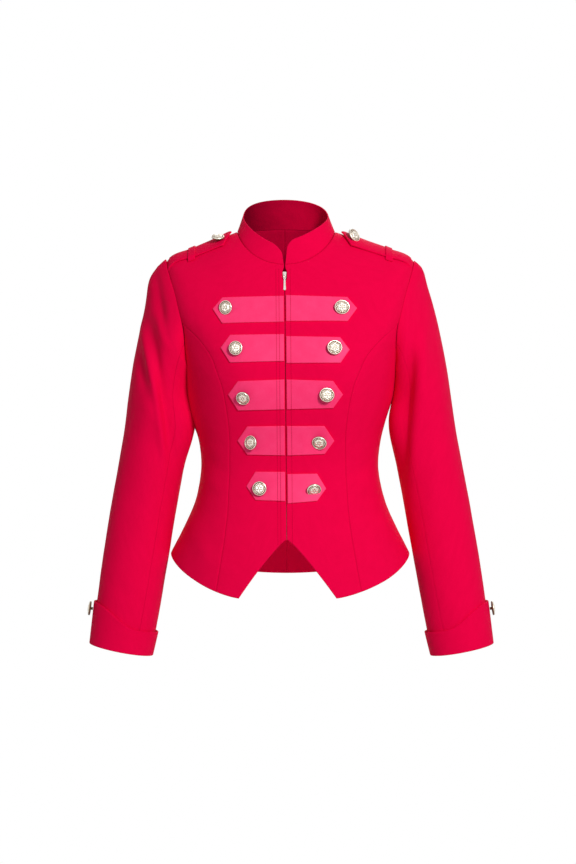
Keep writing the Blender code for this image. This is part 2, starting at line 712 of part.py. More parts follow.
def strap(name, side, material):
    """A shoulder strap with a pointed inner end, lying along the shoulder seam."""
    out = np.concatenate([np.linspace(STRAP_OUT, STRAP_SHOULDER, 8), [STRAP_POINT + 0.4]])
    taper = np.where(out < STRAP_SHOULDER - 1, 0.03, 1.0)
    across = np.linspace(-1, 1, 7)[:, None]
    x = out + 0 * across
    y = strap_middle(x) + STRAP_HALF * across * taper
    lift = strap_lift(x)
    wall(name, strap_surface(x, y, lift + STRAP_WALL), strap_surface(x, y, lift), side, material)


def strap_loop(name, side, material):
    """The band that holds a strap down, sewn to the shoulder at both ends."""
    half = [(STRAP_HALF * share, down) for share, down in LOOP_STEPS]
    section = [(-y, down) for y, down in half[:0:-1]] + half
    ys = strap_middle(LOOP_AT) + np.array([y for y, _ in section])
    over = STRAP_LIFT + STRAP_WALL + LOOP_ROOM
    height = over * (1 - np.array([down for _, down in section]))
    x = np.linspace(LOOP_AT - LOOP_HALF, LOOP_AT + LOOP_HALF, 2)[:, None] + 0 * ys
    y = ys + 0 * x
    lift = height + 0 * x
    low = strap_surface(x, y, lift)
    wall(name, strap_surface(x, y, lift + LOOP_WALL), low, side, material)


def front_line(height):
    """A point of the middle front at a height."""
    angle, level = place_on_body(np.array([0.01, height]), [0, 2], 0.5, level_at(height))
    return body(angle, level)


def strip(name, near, far, heights, out_face, in_face, side, material):
    """A strip that runs down behind the front between two distances from the middle."""
    goal = np.stack(np.meshgrid([near, far], heights), -1)
    angle, level = place_on_body(goal, [0, 2], 2.0, level_at(goal[..., 1]))
    seat, normal = body(angle, level), body_normal(angle, level)
    wall(name, seat + out_face * normal, seat + in_face * normal, side, material)


def block(name, low, high, place, lean, material):
    """A box between two corners, in a frame that leans with the front's slope."""
    size = Vector(high) - Vector(low)
    middle = (Vector(high) + Vector(low)) / 2
    shape = bmesh.new()
    move = Matrix.Translation(middle) @ Matrix.Diagonal((*size, 1))
    bmesh.ops.create_cube(shape, size=1, matrix=move)
    mesh = bpy.data.meshes.new(name)
    shape.to_mesh(mesh)
    shape.free()
    mesh.transform(Matrix.Scale(MM, 4))
    mesh.materials.append(material)
    item = bpy.data.objects.new(name, mesh)
    bpy.context.scene.collection.objects.link(item)
    item.location = Vector(sway(place)) * MM
    item.rotation_euler = (lean, 0, 0)
    return item


def zip_parts(cloth, metal):
    """Tapes, chain, slider and the pull that hangs from the slider's bridge."""
    heights = np.linspace(ZIP_LOW, ZIP_TOP, 17)
    for side, label in ((-1, "left"), (1, "right")):
        strip(f"zip_tape_{label}", TAPE_IN, TAPE_OUT, heights, TAPE_FACE, TAPE_FACE - TAPE,
              side, cloth)
    heights = np.linspace(ZIP_LOW, CHAIN_TOP, 17)
    strip("zip_chain", -CHAIN_HALF, CHAIN_HALF, heights, TAPE_FACE, TAPE_FACE - CHAIN_WALL, 1,
          metal)
    face, below = front_line(SLIDER_Z), front_line(SLIDER_Z - PULL_LONG)
    lean = -math.atan2(face[1] - below[1], face[2] - below[2])
    low = (-SLIDER_HALF_X, 0, -SLIDER_HALF_Z)
    high = (SLIDER_HALF_X, SLIDER_WALL, SLIDER_HALF_Z)
    slider = block("zip_slider", low, high, face, lean, metal)
    add_bridge(slider)
    pin = Vector((0, -BRIDGE_RISE / 2, -BRIDGE_HALF_Z + BRIDGE_BAR + PIN_HALF + PIN_ROOM))
    make_pull(Vector(face) + Matrix.Rotation(lean, 3, "X") @ pin, lean, metal)


def add_bridge(slider):
    """An arch on the slider's face that the pull's pin runs under."""
    shape = bmesh.new()
    top, inner = BRIDGE_RISE + BRIDGE_BAR, BRIDGE_HALF_Z - BRIDGE_BAR
    outline = [
        (ARCH_FOOT, -BRIDGE_HALF_Z), (-top, -BRIDGE_HALF_Z), (-top, BRIDGE_HALF_Z),
        (ARCH_FOOT, BRIDGE_HALF_Z), (ARCH_FOOT, inner), (-BRIDGE_RISE, inner),
        (-BRIDGE_RISE, -inner), (ARCH_FOOT, -inner)]
    points = [shape.verts.new((-BRIDGE_HALF_X, y, z)) for y, z in outline]
    face = shape.faces.new(points)
    made = bmesh.ops.extrude_face_region(shape, geom=[face])
    moved = [item for item in made["geom"] if isinstance(item, bmesh.types.BMVert)]
    bmesh.ops.translate(shape, verts=moved, vec=(2 * BRIDGE_HALF_X, 0, 0))
    bmesh.ops.triangulate(shape, faces=shape.faces[:])
    bmesh.ops.recalc_face_normals(shape, faces=shape.faces[:])
    mesh = bpy.data.meshes.new("bridge")
    shape.to_mesh(mesh)
    shape.free()
    mesh.transform(Matrix.Scale(MM, 4))
    arch = bpy.data.objects.new("bridge_guide", mesh)
    bpy.context.scene.collection.objects.link(arch)
    arch.location = slider.location
    arch.rotation_euler = slider.rotation_euler
    arch.hide_render = True
    arch.display_type = "WIRE"
    join = slider.modifiers.new("bridge", "BOOLEAN")
    join.operation = "UNION"
    join.object = arch


def make_pull(pin, lean, material):
    """A flat pull whose pin passes under the bridge; its origin is on the hinge."""
    outline = [(-PULL_HALF, PIN_HALF), (PULL_HALF, PIN_HALF),
               (PULL_HALF, -PULL_LONG + PULL_CHAMFER), (PULL_HALF - PULL_CHAMFER, -PULL_LONG),
               (-PULL_HALF + PULL_CHAMFER, -PULL_LONG), (-PULL_HALF, -PULL_LONG + PULL_CHAMFER)]
    inner = PULL_HALF - PULL_FRAME
    hole = [(-inner, -PIN_HALF), (inner, -PIN_HALF), (inner, -PULL_HOLE), (-inner, -PULL_HOLE)]
    shape = bmesh.new()
    half = PULL_WALL / 2
    rings = {}
    for label, loop in (("edge", outline), ("hole", hole)):
        for layer in (-half, half):
            rings[label, layer] = [shape.verts.new((x, layer, z)) for x, z in loop]
    for label in ("edge", "hole"):
        low, high = rings[label, -half], rings[label, half]
        for i in range(len(low)):
            after = (i + 1) % len(low)
            shape.faces.new((low[i], low[after], high[after], high[i]))
    for layer in (-half, half):
        out, inn = rings["edge", layer], rings["hole", layer]
        shape.faces.new((out[0], out[1], inn[1], inn[0]))
        shape.faces.new((out[1], out[2], inn[2], inn[1]))
        shape.faces.new((out[2], out[3], out[4], out[5], inn[3], inn[2]))
        shape.faces.new((out[5], out[0], inn[0], inn[3]))
    bmesh.ops.triangulate(shape, faces=shape.faces[:])
    bmesh.ops.recalc_face_normals(shape, faces=shape.faces[:])
    mesh = bpy.data.meshes.new("zip_pull")
    shape.to_mesh(mesh)
    shape.free()
    mesh.transform(Matrix.Scale(MM, 4))
    mesh.materials.append(material)
    item = bpy.data.objects.new("zip_pull", mesh)
    bpy.context.scene.collection.objects.link(item)
    item.location = Vector(sway(np.array(pin))) * MM
    item.rotation_euler = (lean, 0, 0)


def front_buttons(label, side, material):
    """The buttons on one front's tabs."""
    for row, (_, _, _, _, out, height, lean_across, lean_up) in enumerate(TABS):
        goal = np.array([[before_sway(out, height, side), height]])
        angle, level = place_on_body(goal, [0, 2], 30, level_at(height))
        normal = body_normal(angle, level)[0]
        seat = body(angle, level)[0] + (TAB_LIFT + SATIN) * normal
        flip = np.array([side, 1, 1])
        button(f"button_{row + 1}_{label}", seat * flip, normal * flip, side * lean_across,
               lean_up, material)


def shoulder_trim(label, side, cloth, metal):
    """Strap, loop and button of one shoulder."""
    strap(f"epaulette_{label}", side, cloth)
    strap_loop(f"epaulette_loop_{label}", side, cloth)
    x, y = np.array([float(STRAP_BUTTON)]), np.array([float(STRAP_BUTTON_FORWARD)])
    seat = strap_surface(x, y, strap_lift(x) + STRAP_WALL + SEAM)[0]
    normal = unit(seat - strap_surface(x, y, 0 * x)[0])
    flip = np.array([side, 1, 1])
    button(f"epaulette_button_{label}", seat * flip, normal * flip, 0, 0, metal)


def cuff_button(label, side, material):
    """The button on a cuff's outside, just under the slanted edge."""
    up = 1 - CUFF_BUTTON_DOWN / CUFF_OUTSIDE
    off = CUFF_OFF_LOW + up * (CUFF_OFF_HIGH - CUFF_OFF_LOW) + CUFF_WALL
    seat = cuff_points(np.array([0.0]), up, side, off + CUFF_BUTTON_ROOM)[0]
    normal = unit(cuff_points(np.array([0.0]), up, side, 2 * off)[0] - seat)
    flip = np.array([side, 1, 1])
    button(f"cuff_button_{label}", seat * flip, normal * flip, 0, 0, material)


def build():
    clear_scene()
    cloth = finish_of("wool_red", RED, 0.8, 0.0)
    satin = finish_of("satin_pink", PINK, 0.4, 0.0)
    gold = finish_of("pale_gold", GOLD, 0.3, 1.0)
    silver = finish_of("silver", SILVER, 0.3, 1.0)
    grids = {"front": tall_panel(False), "back": tall_panel(True),
             "side_front": short_panel(False), "side_back": short_panel(True)}
    for side, label in ((-1, "left"), (1, "right")):
        for piece, grid in grids.items():
            body_panel(f"{piece}_{label}", grid, side, cloth)
        for half, turn in zip(("upper", "under"), sleeve_turns()):
            sleeve_piece(f"sleeve_{half}_{label}", turn, side, cloth)
        cuff(f"cuff_{label}", side, cloth)
        cuff_button(label, side, gold)
        for row in range(len(TABS)):
            tab(f"tab_{row + 1}_{label}", row, side, satin)
        front_buttons(label, side, gold)
        shoulder_trim(label, side, cloth, gold)
    collar(grids["front"][0][-1], grids["back"][0][-1], cloth)
    zip_parts(cloth, silver)


build()
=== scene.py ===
"""A cropped red parade jacket: cloth shells, satin tabs, stitching, zip and shank buttons.

The cloth's surfaces are worked out in millimetres, in the frame of the solids, and each visible
piece replaces its own node. Left and right are as seen from the front, so left is -X.
"""

import functools
import math

import bmesh
import bpy
import numpy as np
from mathutils import Matrix, Vector


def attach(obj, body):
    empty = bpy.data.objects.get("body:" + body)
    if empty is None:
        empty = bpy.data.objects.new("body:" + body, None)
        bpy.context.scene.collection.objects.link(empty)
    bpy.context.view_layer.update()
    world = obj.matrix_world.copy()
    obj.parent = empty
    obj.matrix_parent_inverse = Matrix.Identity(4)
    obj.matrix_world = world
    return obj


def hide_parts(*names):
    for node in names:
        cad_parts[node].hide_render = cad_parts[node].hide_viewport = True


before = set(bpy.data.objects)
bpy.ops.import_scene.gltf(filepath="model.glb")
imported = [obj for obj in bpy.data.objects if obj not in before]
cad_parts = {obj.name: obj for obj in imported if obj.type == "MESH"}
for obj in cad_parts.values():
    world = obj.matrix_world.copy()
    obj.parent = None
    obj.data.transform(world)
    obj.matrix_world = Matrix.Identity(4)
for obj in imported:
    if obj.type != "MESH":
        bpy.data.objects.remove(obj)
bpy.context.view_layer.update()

MM = 0.001
SIDES = ((-1, "left"), (1, "right"))
TRIES = 30

# Walls of cloth, satin and tape, then the gaps at a seam and under a button. The gap at a seam is
# below zero: the shells overlap a little where the solids leave 0.3 between them.
CLOTH, SATIN, TAPE = 2.0, 1.5, 0.8
SEAM, BUTTON_ROOM = -0.6, 0.3

# The body's levels, from below the hem up to the neck seam. The columns are the height at the
# front, side and back, the half width, the depth ahead and behind, and how square the ring is.
BODY = np.array([
    (-600, -600, -600, 214, 150, 131, 0.03),
    (-540, -540, -540, 199, 140, 122, 0.03),
    (-500, -500, -500, 186, 131, 114, 0.03),
    (-460, -460, -460, 166, 118, 101, 0.03),
    (-425, -425, -425, 150, 106, 90, 0.03),
    (-395, -395, -395, 141.5, 99, 83, 0.03),
    (-361, -361, -361, 137, 95, 78, 0.03),
    (-325, -325, -325, 140, 98.5, 81, 0.03),
    (-285, -285, -285, 148.5, 107, 88, 0.03),
    (-245, -245, -245, 156, 113, 95, 0.03),
    (-210, -210, -210, 163, 113, 100, 0.04),
    (-178, -150, -168, 175, 108, 103, 0.05),
    (-150, -95, -122, 189, 100, 101, 0.035),
    (-124, -46, -80, 191, 91, 93, 0.0),
    (-101, -28, -48, 152, 82, 82, 0.01),
    (-78, -13, -18, 113, 72, 68, 0.03),
    (-54, 0, 9, 76, 62, 55, 0.03),
])
WAIST, CHEST, UNDERARM, TIP, NECK = 6, 9, 10, 13, 16

# How sharply a ring bends from its sides to its front and back
RIDGE = 1.6

# Each side's fullness: most, height, spans above and below, and how far round it reaches
SIDE_ROUND = 30
SIDE_FULL = {-1: (8.0, -274, 62, 32), 1: (5.2, -250, 60, 30)}

# The bust: its place, its spans and its depth
BUST_X, BUST_Z, BUST_ACROSS, BUST_TALL, BUST_DEEP = 78, -225, 62, 62, 9

# Armhole: an egg in the body's angle and level, widest halfway up
ARMHOLE_MID, ARMHOLE_HALF = 11.5, 1.5
ARMHOLE_AHEAD, ARMHOLE_BEHIND = 29, 27
FRONT_JOIN, BACK_JOIN = 96, 84

# Princess seams: how far out at each height
FRONT_PRINCESS = [
    (-544, 108), (-499, 100.5), (-455, 94), (-410, 90), (-358, 88), (-305, 88.3), (-277, 91.5),
    (-238, 99.3), (-217, 107.3), (-200, 114.2), (-185, 123.8), (-164, 142)]
BACK_PRINCESS = [
    (-545, 112), (-500, 99), (-455, 88), (-410, 80), (-358, 76), (-305, 80), (-260, 88),
    (-225, 99), (-195, 114), (-165, 134)]

# Hem heights, the front points' angle, the hem's curves, and half the gap between the front edges
HEM_ZIP, HEM_POINT, HEM_SIDE, HEM_BACK = -468, -554, -497, -539
POINT_ANGLE = 18.8
CUT_CURVE, HEM_CURVE = 1.3, 1.3
GAP, GAP_TOP, GAP_SLIDER, GAP_SLIDER_SPAN = 0.35, 0.8, 3.3, 9

# Sleeve rings from the underarm down: height, middle, half width, middle and half depth, tilt
SLEEVE = np.array([
    (-260, 205, 45.5, 2, 60, 0),
    (-307, 205.5, 51, 0, 56, 2),
    (-360, 215, 50.5, -3, 52, 4),
    (-430, 227.5, 50.3, -8, 48, 6),
    (-500, 239, 50, -15, 45, 8),
    (-570, 250.5, 48, -24, 42, 10),
    (-642, 263, 45, -32, 39, 11.5),
])

# The degrees round the arm where upper and under sleeve meet, and their half gap there
SLEEVE_SPLIT_FRONT, SLEEVE_SPLIT_BACK, SLEEVE_GAP = 124, 116, 0.17

# How far both sleeves shift to the right, at their tops and their ends
SLEEVE_SIDE_TOP, SLEEVE_SIDE_LOW = -0.6, 2.0

# The sleeve's head: its fullness at sides and top, how it runs into the arm, how far each side is
# raised, and each squared shoulder's most, place along the cap and span
CAP_FULL_SIDE, CAP_FULL_TOP, CAP_LEVEL = 0.15, 0.215, 0.40
CAP_RAISE = {-1: 4.6, 1: 2.4}
SHOULDER_FULL = {-1: (11.0, 0.17, 0.19), 1: (6.0, 0.09, 0.13)}

# Soft troughs and ridges in the sleeves: side, round, along, half spans of each, depth
SLEEVE_FOLDS = [
    (-1, 60, 0.75, 22, 0.30, -3.0), (-1, 95, 0.55, 16, 0.28, 2.5), (-1, 125, 1.3, 18, 0.55, -3.0),
    (-1, 75, 1.4, 16, 0.8, 2.4), (1, 128, 1.1, 18, 0.75, -3.2), (1, 92, 1.0, 16, 0.9, 2.4),
    (1, 60, 0.6, 20, 0.25, -2.0), (-1, 60, 3.4, 30, 0.5, -1.8), (1, 65, 3.7, 30, 0.5, -1.8),
    (-1, 250, 1.2, 24, 0.5, -2.5), (1, 255, 1.0, 24, 0.5, -2.5), (-1, 290, 3.2, 30, 0.4, -2.0),
    (1, 285, 3.4, 30, 0.4, -2.0), (-1, 180, 1.5, 38, 0.5, 16.0), (1, 180, 1.5, 38, 0.45, 8.0),
    (-1, 180, 7.2, 46, 1.3, 14.0), (1, 180, 7.2, 46, 1.3, 13.0),
]

# Cuffs: wall, distance off the sleeve, heights, and the height of one row of the sleeve's table
CUFF_WALL = 2.4
CUFF_OFF_LOW, CUFF_OFF_HIGH = 0.5, 1.9
CUFF_INSIDE, CUFF_OUTSIDE = 36, 65
CUFF_BUTTON_DOWN = 13
STATION_STEP = 72.0

# Collar: heights, half width and depths of its top, and its rounded and opened front corners
COLLAR_TOP_SIDE, COLLAR_TOP_BACK = 24, 55
COLLAR_TOP_FRONT = {-1: -27, 1: -19}
COLLAR_HALF, COLLAR_AHEAD, COLLAR_BEHIND = 66, 57, 49
COLLAR_ROUND = {-1: 17, 1: 12}
COLLAR_FRONT = 33
COLLAR_RAISE, COLLAR_OPEN, COLLAR_OPEN_SPAN = 7.0, 3.2, 30

# Tabs: height, how far out the point's corners and tip lie, and half height
TABS = [
    (-124, 94, 108.5, 19.8),
    (-185, 82, 96, 20.2),
    (-252.5, 70.7, 85.2, 22.2),
    (-320.8, 57.7, 72.3, 22.2),
    (-389.4, 46, 59.5, 22),
]
TAB_START, TAB_LIFT = 1.7, 0.8

# How far each side's tabs sit above their rows
TAB_RISE = {-1: (0.3, 2.6, 0.6, -0.3, -0.8), 1: (1.4, -0.4, 0.6, -0.6, -4.2)}

# How far the top and bottom edges of each side's tabs shift up toward their corners
TAB_EDGES = {-1: [(-2.2, -2.2), (-1.2, -2.0), (-2.6, -1.6), (-1.0, 0.8), (0.0, 1.6)],
             1: [(-2.8, 0.0), (-1.6, 0.4), (-2.2, 2.0), (0.0, 2.2), (0.6, 3.6)]}

# Each side's buttons: how far out and how high they sit, and how their faces turn and tip
BUTTON_PLACES = {
    -1: [(87.5, -122.5, -0.32, 0.05), (73.0, -184.0, -0.12, 0.12), (62.2, -255.0, -0.26, -0.60),
         (50.0, -324.0, -0.66, 0.06), (39.5, -393.5, -0.10, 0.05)],
    1: [(85.2, -122.0, 0.12, 0.08), (72.6, -183.0, 0.20, 0.12), (60.4, -252.5, 0.16, 0.04),
        (50.4, -322.0, -0.20, -0.52), (40.2, -393.0, 0.24, -0.68)]}
BUTTON_HALF, BUTTON_RISE, BUTTON_RIM, SHANK_HALF, SHANK_TALL = 10.8, 3.6, 1.6, 2.4, 3.2

# Shoulder straps: outline, how far forward they lie, wall, and how they lift at their free point
STRAP_HALF, STRAP_OUT, STRAP_SHOULDER, STRAP_POINT = 23, 186, 97, 83
STRAP_FORWARD_IN, STRAP_FORWARD_OUT = -9, -1.5
STRAP_WALL, STRAP_LIFT, STRAP_TIP_LIFT = 2.0, 1.0, 3.0
STRAP_FREE, STRAP_FREE_SPAN = 124, 41
STRAP_TUCK, STRAP_SINK = 166, 1.8
STRAP_END = 187

# Each strap's button: how far out, how far forward, and which way it is tipped
STRAP_BUTTONS = {-1: (106, -18, (-0.3, 0.1, 0.1)), 1: (98, -15, (0.75, -0.35, -0.3))}

# Strap loops: place, half width, wall, room, and their section from the top down
LOOP_AT, LOOP_HALF, LOOP_WALL, LOOP_ROOM = 151, 5.5, 1.4, 0.5
LOOP_STEPS = [(0, 0), (0.35, 0), (0.7, 0), (1.017, 0), (1.08, 0.25), (1.15, 0.7), (1.22, 0.86)]

# Zip: tapes, chain, slider, bridge and pull
TAPE_IN, TAPE_OUT = 3.5, 14
CHAIN_WALL = 2.2
ZIP_TOP, CHAIN_TOP, ZIP_LOW = -56, -76.5, -467
TAPE_FACE = -2.75
SLIDER_Z, SLIDER_HALF_X, SLIDER_HALF_Z, SLIDER_WALL = -70.5, 3.0, 5.2, 4.0
BRIDGE_HALF_X, BRIDGE_HALF_Z, BRIDGE_RISE, BRIDGE_BAR = 0.8, 3.2, 1.7, 0.8
PIN_HALF, PULL_HALF, PULL_LONG, PULL_WALL = 0.45, 2.0, 20, 1.0
PIN_ROOM = 0.35

# Sway: how far the middle line moves at neck and hem, how far the sides do, and where they are
SWAY_TOP, SWAY_LOW, SWAY_SIDE, SWAY_REACH = -6.2, -2.6, 2.6, 145

# The white surroundings: how strongly they light cloth and show in metal
WORLD_LIGHT, WORLD_GLOSS = 0.29, 0.74

# Lamps: place in metres, size and power. All face one point of the jacket.
LAMP_AIM = (0, 0, -0.3)
LAMPS = [("key_lamp", (1.30, -2.72, 1.05), 0.7, 79), ("fill_lamp", (-2.4, -2.2, 0.3), 1.6, 4),
         ("back_lamp", (0.4, 2.6, 1.6), 1.6, 24)]

# The floor's height and radius in metres
FLOOR_Z, FLOOR_HALF = -1.4, 1.45

# How finely the cloth is divided, in millimetres
FINE = 3.2
EDGE_STEPS = (0, 0.35, 0.8, 1.4, 2.2, 3.4)
BACK_WIDE, FRONT_NEAR, FRONT_FAR, SIDE_WIDE = 105, 62, 46, 95
SKIRT_TALL, SIDE_TOP_TALL, SHOULDER_STEP, HEAD_TALL = 150, 62, 38.0, 150.0

# Rows of cloth: over the waist, along the armhole, at the shoulder, and down the sleeve
BODY_ROWS, ARMHOLE_ROWS, SHOULDER_ROWS, SIDE_ROWS, HEAD_ROWS, ARM_ROWS = 52, 44, 34, 36, 58, 122
SLEEVE_END = 6.96

# Rolled edges and seam valleys: how deep and how wide
FOLD_DEEP, FOLD_WIDE = 0.95, 1.2
SEAM_DEEP, SEAM_WIDE, SEAM_FAINT = 0.8, 2.6, 0.2
# Painted shade along the seams: how far it spreads and how strong it is at most
SEAM_LINE, SEAM_PAINTED_SHADE = 0.85, 0.38

# Sewn lines beside the zip: how far out on each side, and the hem's stitching inside
PLACKET_LINES = {-1: (8.6, 13.1), 1: (8.6,)}
HEM_STITCH = 5.0
LINE_HALF = 0.5
LINE_TOP, LINE_LOW, LINE_STEPS = -62, -478, 480
STITCH, STITCH_GAP, STITCH_HALF = 2.4, 1.0, 0.24

# How uneven each cloth is
BODY_UNEVEN, SLEEVE_UNEVEN, COLLAR_UNEVEN = 0.14, 0.3, 0.2

# Each part's creases seen from the front: x and z of both ends, half width, depth, bend
FRONT_CREASES = {
    "sleeve": [
        (-224, -156, -190, -345, 6, 5.2, -5), (-212, -150, -180, -345, 8, -5.2, -4),
        (-160, -150, -150, -360, 22, 10.0, 0), (-232, -180, -215, -262, 7, -3.0, 0),
        (-206, -56, -192, -140, 8, -6.0, 0), (-200, -130, -184, -182, 6, 2.2, 2),
        (-221, -236, -196, -320, 9, 1.8, 0), (191, -170, 174, -380, 10, -6.0, 2),
        (208, -150, 190, -380, 12, 4.2, 3), (166, -180, 158, -340, 12, 4.0, 0),
        (-228, -400, -250, -460, 14, -1.0, 3), (232, -420, 252, -480, 14, -1.0, -3),
        (-262, -540, -236, -556, 9, -0.8, 3), (240, -545, 268, -560, 9, -0.8, 3)],
    "body": [
        (-12, -229, -8, -248, 3, -0.5, 0), (-20, -322, -25, -352, 4, 0.4, 0),
        (-22, -392, -26, -420, 4, 0.4, 1), (18, -300, 24, -345, 5, 0.35, 0),
        (-150, -150, -118, -205, 12, -1.6, 4), (-40, -142, -96, -156, 7, 0.7, 2),
        (38, -142, 98, -152, 7, 0.6, -2), (-30, -205, -88, -222, 6, 0.7, 2),
        (30, -208, 88, -220, 6, 0.6, -2), (-148, -440, -120, -500, 14, 1.6, 3),
        (146, -445, 120, -505, 14, 1.4, -3), (147, -163, 114, -220, 8, 1.1, 2),
        (-128, -345, -84, -372, 9, -0.8, 4), (126, -350, 86, -376, 9, -0.8, -4),
        (-132, -372, -92, -398, 9, 0.7, 4), (130, -378, 94, -402, 9, 0.7, -4)],
}

# Creases seen from behind, in the same words
BACK_CREASES = {
    "body": [
        (-126, -335, -60, -352, 9, -2.0, 5), (126, -332, 66, -356, 9, -2.0, 5),
        (-118, -362, -48, -372, 8, 1.7, 4), (118, -366, 52, -374, 8, 1.7, 4),
        (-110, -384, -40, -392, 8, -1.5, -4), (112, -388, 44, -394, 8, -1.5, -4),
        (-150, -150, -112, -235, 12, -2.4, 5), (150, -146, 114, -230, 12, -2.4, -5),
        (-60, -95, 58, -96, 14, 1.4, 6)],
    "sleeve": [
        (-222, -150, -190, -240, 9, -3.4, 4), (226, -150, 196, -245, 9, -3.4, -4),
        (-200, -250, -186, -330, 9, 2.4, 0), (206, -252, 192, -330, 9, 2.4, 0),
        (-196, -395, -246, -412, 8, -2.7, 5), (-200, -425, -250, -438, 8, 2.2, 4),
        (-205, -455, -252, -462, 8, -2.0, 4), (202, -392, 252, -408, 8, -2.7, 5),
        (206, -422, 256, -434, 8, 2.2, 4), (212, -450, 258, -458, 8, -2.0, 4)],
}

# Colours
RED, DEEP_RED = (0.84, 0.0012, 0.058, 1), (0.79, 0.0010, 0.052, 1)
# Inner faces: painted shade near the neck and painted light towards the hem
INSIDE_PAINTED_LIGHT, INSIDE_PAINTED_SHADE = (1.0, 0.0016, 0.068, 1), (0.56, 0.0008, 0.036, 1)
# The collar's inner face: painted shade, darker on the left and lighter on the right
SHADE_RED, SHADE_DEEP = (0.84, 0.0012, 0.050, 1), (0.18, 0.0004, 0.012, 1)
PINK, ROSE = (1.0, 0.050, 0.186, 1), (0.98, 0.034, 0.155, 1)
WINE, DARK = (0.30, 0.001, 0.018, 1), (0.16, 0.0008, 0.010, 1)
# The buttons' metal, and the painted shade in their ornament's recesses
CHAMPAGNE, RECESS_PAINTED_SHADE = (0.97, 0.90, 0.78, 1), (0.20, 0.12, 0.06, 1)
RED_TINT, PINK_TINT = (1.0, 0.02, 0.14, 1), (1.0, 0.25, 0.42, 1)
SILVER = (0.80, 0.76, 0.70, 1), (0.97, 0.94, 0.88, 1)
# Zip teeth nearly black red: painted shade of the gap between the front edges
TEETH_PAINTED_SHADE = (0.10, 0.004, 0.012, 1), (0.22, 0.008, 0.025, 1)

# Each cloth's thread width, gloss, sheen, bump, sewn lines and colours. A lean paints shade and
# light: an axis and the places on it where the low and the high colour are reached.
# The seam colour is what the sewn lines and the painted shade along seams turn towards
WOVEN = {"thread": 0.8, "rough": 0.62, "specular": 0.06, "tint": RED_TINT, "sheen": 0.06,
         "bump": 0.22, "line": 0.22, "seam": WINE}
LOOKS = {
    "red_cloth": {**WOVEN, "low": DEEP_RED, "high": RED},
    "red_cloth_inside_painted_shade": {**WOVEN, "low": INSIDE_PAINTED_SHADE, "high": INSIDE_PAINTED_LIGHT, "sheen": 0.0,
                         "lean": (2, -0.10, -0.40)},
    "red_collar_inside_painted_shade": {**WOVEN, "low": SHADE_DEEP, "high": SHADE_RED, "sheen": 0.0,
                          "lean": (0, -0.06, 0.06)},
    "pink_satin": {"thread": 0.35, "low": ROSE, "high": PINK, "rough": 0.40, "specular": 0.3,
                   "tint": PINK_TINT, "sheen": 0.0, "bump": 0.08, "line": 0.6, "seam": WINE},
    "zip_tape": {**WOVEN, "thread": 1.0, "low": DARK, "high": WINE, "bump": 0.4, "line": 0.0},
    "red_thread": {**WOVEN, "thread": 0.4, "low": WINE, "high": DEEP_RED, "line": 0.0},
}


def read_rows(table, at):
    """The table's columns at a fractional row number, on a smooth curve through its rows."""
    at = np.asarray(at, float)
    first = np.clip(np.floor(at).astype(int), 0, len(table) - 2)
    part = (at - first)[..., None]
    padded = np.vstack([2 * table[0] - table[1], table, 2 * table[-1] - table[-2]])
    before, start, end, after = (padded[first + step] for step in range(4))
    bend = 2 * before - 5 * start + 4 * end - after
    twist = 3 * start - before - 3 * end + after
    return 0.5 * (2 * start + (end - before) * part + bend * part ** 2 + twist * part ** 3)


def through(points, at):
    """A smooth curve through (place, value) points, in order of place."""
    places, values = (np.array(column, float) for column in zip(*points))
    return read_rows(values[:, None], np.interp(at, places, np.arange(len(places))))[..., 0]


def body(angle, level):
    """A point of the jacket's outside. Angle 0 is the zip, 90 the side."""
    angle = np.asarray(angle, float)
    turn = np.radians(angle)
    ahead = np.cos(turn)
    row = read_rows(BODY, np.broadcast_to(level, angle.shape))
    front_z, side_z, back_z, wide, deep_front, deep_back, square = np.moveaxis(row, -1, 0)
    end_z = np.where(ahead >= 0, front_z, back_z)
    deep = np.where(ahead >= 0, deep_front, deep_back)
    x = wide * (np.sin(turn) + square * np.sin(3 * turn)) / (1 - square)
    y = -deep * (ahead - square * np.cos(3 * turn)) / (1 - square)
    share = np.abs(ahead) ** RIDGE
    z = share * end_z + (1 - share) * side_z
    full = np.exp(-((np.abs(x) - BUST_X) / BUST_ACROSS) ** 2 - ((z - BUST_Z) / BUST_TALL) ** 2)
    y = y - BUST_DEEP * full * np.clip(ahead * 2, 0, 1)
    return np.stack([x, y, z], -1)


def slopes(angle, level):
    """How the body's point moves with the angle and with the level."""
    across = (body(angle + 0.05, level) - body(angle - 0.05, level)) / 0.1
    up = (body(angle, level + 0.005) - body(angle, level - 0.005)) / 0.01
    return across, up


def unit(vectors):
    return vectors / np.linalg.norm(vectors, axis=-1, keepdims=True)


def body_normal(angle, level):
    across, up = slopes(angle, level)
    return unit(np.cross(across, up))


def place_on_body(goal, axes, angle, level):
    """The angle and level where two of the body's coordinates meet the goal."""
    goal = np.asarray(goal, float)
    angle = np.full(goal.shape[:-1], float(angle))
    level = np.zeros(goal.shape[:-1]) + level
    for _ in range(TRIES):
        miss = goal - body(angle, level)[..., axes]
        across, up = (slope[..., axes] for slope in slopes(angle, level))
        size = across[..., 0] * up[..., 1] - across[..., 1] * up[..., 0]
        turn = (miss[..., 0] * up[..., 1] - miss[..., 1] * up[..., 0]) / size
        rise = (across[..., 0] * miss[..., 1] - across[..., 1] * miss[..., 0]) / size
        angle = angle + np.clip(turn, -6, 6)
        level = level + np.clip(rise, -0.4, 0.4)
    return angle, level


def nudged(angle, level, distance):
    """The angle moved by a distance along its level."""
    across, _ = slopes(angle, level)
    return angle + distance / np.linalg.norm(across, axis=-1)


def level_at(height):
    """The level of a height below the underarm."""
    levels = np.linspace(0, UNDERARM, 401)
    return np.interp(height, body(np.full(401, 90.0), levels)[:, 2], levels)


